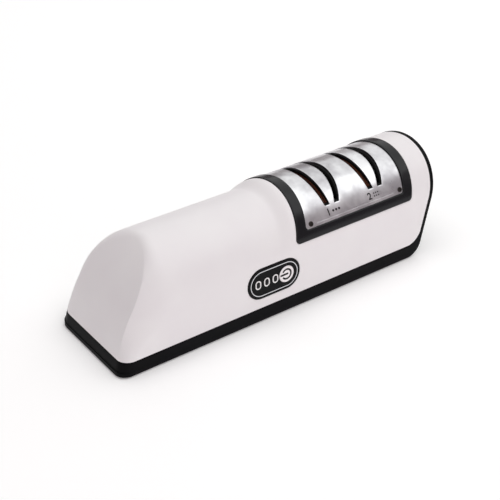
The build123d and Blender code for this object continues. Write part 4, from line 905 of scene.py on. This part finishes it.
keySizes = {"radius": 4.69, "proud": 0.35, "dish": 0.12, "round": 0.35, "flangeRadius": 5.2,
            "flange": (1.5, 2.2), "stem": (1.5, 6.0), "arcRadius": 2.75, "stroke": 1.0, "opening": 40.0,
            "bar": (-3.6, 0.6), "barStroke": 1.1, "printLift": 0.03, "printDepth": 0.02, "around": 72}
keyOut = np.array([0, -math.cos(draft), math.sin(draft)])
keyUp = np.array([0, math.sin(draft), math.cos(draft)])
keyBase = frontPoint(np.array(panelSizes["keyMiddle"]), np.array(panelSizes["middle"][1]), 0.0)


def keyHeight(radius):
    # the key's face: proud - dish * (1 - (r / radius)^2), falling as a quarter round at its rim
    s = keySizes
    inside = np.clip(s["radius"] - radius, 0, s["round"])
    return (s["proud"] - s["dish"] * (1 - (radius / s["radius"]) ** 2)
            - s["round"] + np.sqrt(s["round"] ** 2 - (s["round"] - inside) ** 2))


def keyProfile():
    # from the stem's end out over the flange and the rim to the middle of the face
    s = keySizes
    face = np.concatenate([s["radius"] - s["round"] * (1 - np.cos(ramp(0, np.pi / 2, 6))),
                           ramp(s["radius"] - s["round"], 0, 12)[1:]])
    back = [(-s["stem"][1], 0), (-s["stem"][1], s["stem"][0]), (-s["flange"][1], s["stem"][0]),
            (-s["flange"][1], s["flangeRadius"]), (-s["flange"][0], s["flangeRadius"]),
            (-s["flange"][0], s["radius"])]
    return np.vstack([back, np.stack([keyHeight(face), face], -1)])


def strokeShape(line, width):
    # flat band of this width along a line of points, with round ends
    step = np.gradient(line, axis=0)
    step /= np.linalg.norm(step, axis=1, keepdims=True)
    square = np.stack([-step[:, 1], step[:, 0]], -1)
    across = ramp(-width / 2, width / 2, 4)
    band = line[:, None] + square[:, None] * across[None, :, None]
    turn = ramp(-np.pi / 2, np.pi / 2, 10)
    parts = [(band, gridFaces(band.shape))]
    for end, way, side in ((line[-1], step[-1], square[-1]), (line[0], -step[0], -square[0])):
        rim = end + (width / 2) * (np.cos(turn)[:, None] * way + np.sin(turn)[:, None] * side)
        fan = np.stack([np.repeat(end[None], len(turn), 0), rim], 1)
        parts.append((fan, gridFaces(fan.shape, flip=True)))
    return parts


keyTurned = lathe(keyProfile(), keyBase, keyOut, keyUp, keySizes["around"])
finishPiece(addPiece("keyCap", [keyTurned], keyWhite, ["power_key"], "key"), sharpDegrees=50)
turn = np.radians(ramp(-180 + keySizes["opening"], 180 - keySizes["opening"], 48))
arcLine = keySizes["arcRadius"] * np.stack([np.cos(turn), np.sin(turn)], -1)
bar = ramp(*keySizes["bar"], 10)
barLine = np.stack([bar, 0 * bar], -1)
signParts = []
for line, width in ((arcLine, keySizes["stroke"]), (barLine, keySizes["barStroke"])):
    for flat, faces in strokeShape(line, width):
        height = keyHeight(np.linalg.norm(flat, axis=-1)) + keySizes["printLift"]
        signParts.append((keyBase + flat[..., :1] * np.array([1.0, 0, 0]) + flat[..., 1:] * keyUp
                          + height[..., None] * keyOut, faces))
finishPiece(addPiece("powerSign", signParts, printBlack, body="key"),
            keySizes["printDepth"])

discSizes = {"thickness": 3.0, "radius": 24.3, "bore": 4.02, "bevel": 0.8, "softened": (0.3, 0.4),
             "level": 30.8, "rings": 9, "around": 144}
discs = {"coarseWheel": (31.31, coarseGrit, "copper_bond_coarse", "coarse_disc"),
         "fineWheel": (61.31, fineGrit, "copper_bond_fine", "fine_disc")}
half, radius, bore = discSizes["thickness"] / 2, discSizes["radius"], discSizes["bore"]
bevel, rings = discSizes["bevel"], discSizes["rings"]
inward, down = bevel * discSizes["softened"][0], bevel * discSizes["softened"][1]
discProfile = np.vstack([np.stack([np.full(rings + 1, -half), ramp(bore, radius - bevel, rings)], -1),
                         [(-half + inward, radius - down), (-half + bevel, radius),
                          (half - bevel, radius), (half - inward, radius - down)],
                         np.stack([np.full(rings + 1, half), ramp(radius - bevel, bore, rings)], -1),
                         [(-half, bore)]])
for name, (x, grit, slot, node) in discs.items():
    turned = lathe(discProfile, (x, 0, discSizes["level"]), (1, 0, 0), (0, 1, 0), discSizes["around"])
    finishPiece(addPiece(name, [turned], grit, [node], "disc_arbor"))

roundedNodes = {
    "rubber_feet": ("footPads", rubber, "black_rubber", 0.2),
    "base_screws": ("baseScrewSet", zincSteel, "zinc_steel", 0.12),
    "charge_socket": ("socketShell", nickel, "nickel_strip", 0.08),
    "blade_guide": ("bladeGuideSet", nylon, "black_nylon", 0.15),
    "indicator_lenses": ("lensSet", smokedLens, "smoked_lens", 0.1),
}
flatDegrees = 2    # faces that meet at less than this are one face
for node, (name, material, slot, bevel) in roundedNodes.items():
    # the same piece with its sharp edges broken, as a moulded or turned one has
    work = openMesh(nodes[node].data, meshing["sliver"])
    bmesh.ops.dissolve_limit(work, angle_limit=math.radians(flatDegrees), verts=work.verts, edges=work.edges)
    mesh = closeMesh(work, bpy.data.meshes.new(name))
    finishPiece(placePiece(name, mesh, material, [node]), bevel=bevel)

cameraView = {"place": (-306.8, -413.36, 338.7), "azimuth": 36.12, "elevation": 31.76, "roll": -0.27,
              "lens": 81.17}
azimuth, elevation = math.radians(cameraView["azimuth"]), math.radians(cameraView["elevation"])
back = Vector((-math.sin(azimuth) * math.cos(elevation), -math.cos(azimuth) * math.cos(elevation),
               math.sin(elevation)))
right = Vector((math.cos(azimuth), -math.sin(azimuth), 0.0))
level = Matrix((right, back.cross(right), back)).transposed()
tilted = level @ Matrix.Rotation(math.radians(cameraView["roll"]), 3, "Z")
cameraData = bpy.data.cameras.new("camera")
cameraData.sensor_width = 36.0
cameraData.lens = cameraView["lens"]
camera = addObject("camera", cameraData)
camera.matrix_world = Matrix.Translation(Vector(cameraView["place"]) * mm) @ tilted.to_4x4()
bpy.context.scene.camera = camera

floorSizes = {"half": 6.0, "glow": 0.145}
floorPaint = newMaterial("matPaintWhite", {
    "Roughness": 0.9, "Base Color": toLinear("#FFFFFF"), "Specular IOR Level": 0.2,
    "Emission Color": toLinear("#FFFFFF"), "Emission Strength": floorSizes["glow"]})[0]
floorMesh = bpy.data.meshes.new("floor")
reach = floorSizes["half"]
floorMesh.from_pydata([(-reach, -reach, 0), (reach, -reach, 0), (reach, reach, 0), (-reach, reach, 0)],
                      [], [(0, 1, 2, 3)])
floorMesh.materials.append(floorPaint)
floor = addObject("floor", floorMesh)

lamps = {    # place, size, power and colour
    "overhead": ((0.5, 0.4, 1.3), 2.8, 20.2, (0.955, 1.0, 0.985)),
    "high": ((0.2, -0.3, 1.5), 2.0, 6.8, (0.97, 1.0, 0.99)),
    "frontRight": ((0.5, -1.3, 0.9), 1.8, 1.6, (1.0, 0.94, 0.96)),
    "front": ((-0.45, -1.45, 0.6), 1.2, 3.5, (1.0, 0.94, 0.96)),
    "right": ((1.4, -0.6, 0.8), 1.2, 1.4, (1.0, 1.0, 1.0)),
}
surroundings = {"colour": "#FFEFF2", "strength": 0.252, "aim": (0, 0, 0.03)}
for name, (place, size, power, colour) in lamps.items():
    data = bpy.data.lights.new(name, "AREA")
    data.size = size
    data.energy = power
    data.color = colour
    aim = (Vector(surroundings["aim"]) - Vector(place)).to_track_quat("-Z", "Y")
    addObject(name, data).matrix_world = Matrix.Translation(place) @ aim.to_matrix().to_4x4()
world = bpy.data.worlds.new("studio")
bpy.context.scene.world = world
world.use_nodes = True
background = world.node_tree.nodes["Background"].inputs
background["Color"].default_value = toLinear(surroundings["colour"])
background["Strength"].default_value = surroundings["strength"]
bpy.context.scene.view_settings.view_transform = "Standard"
print("camera and light placed")
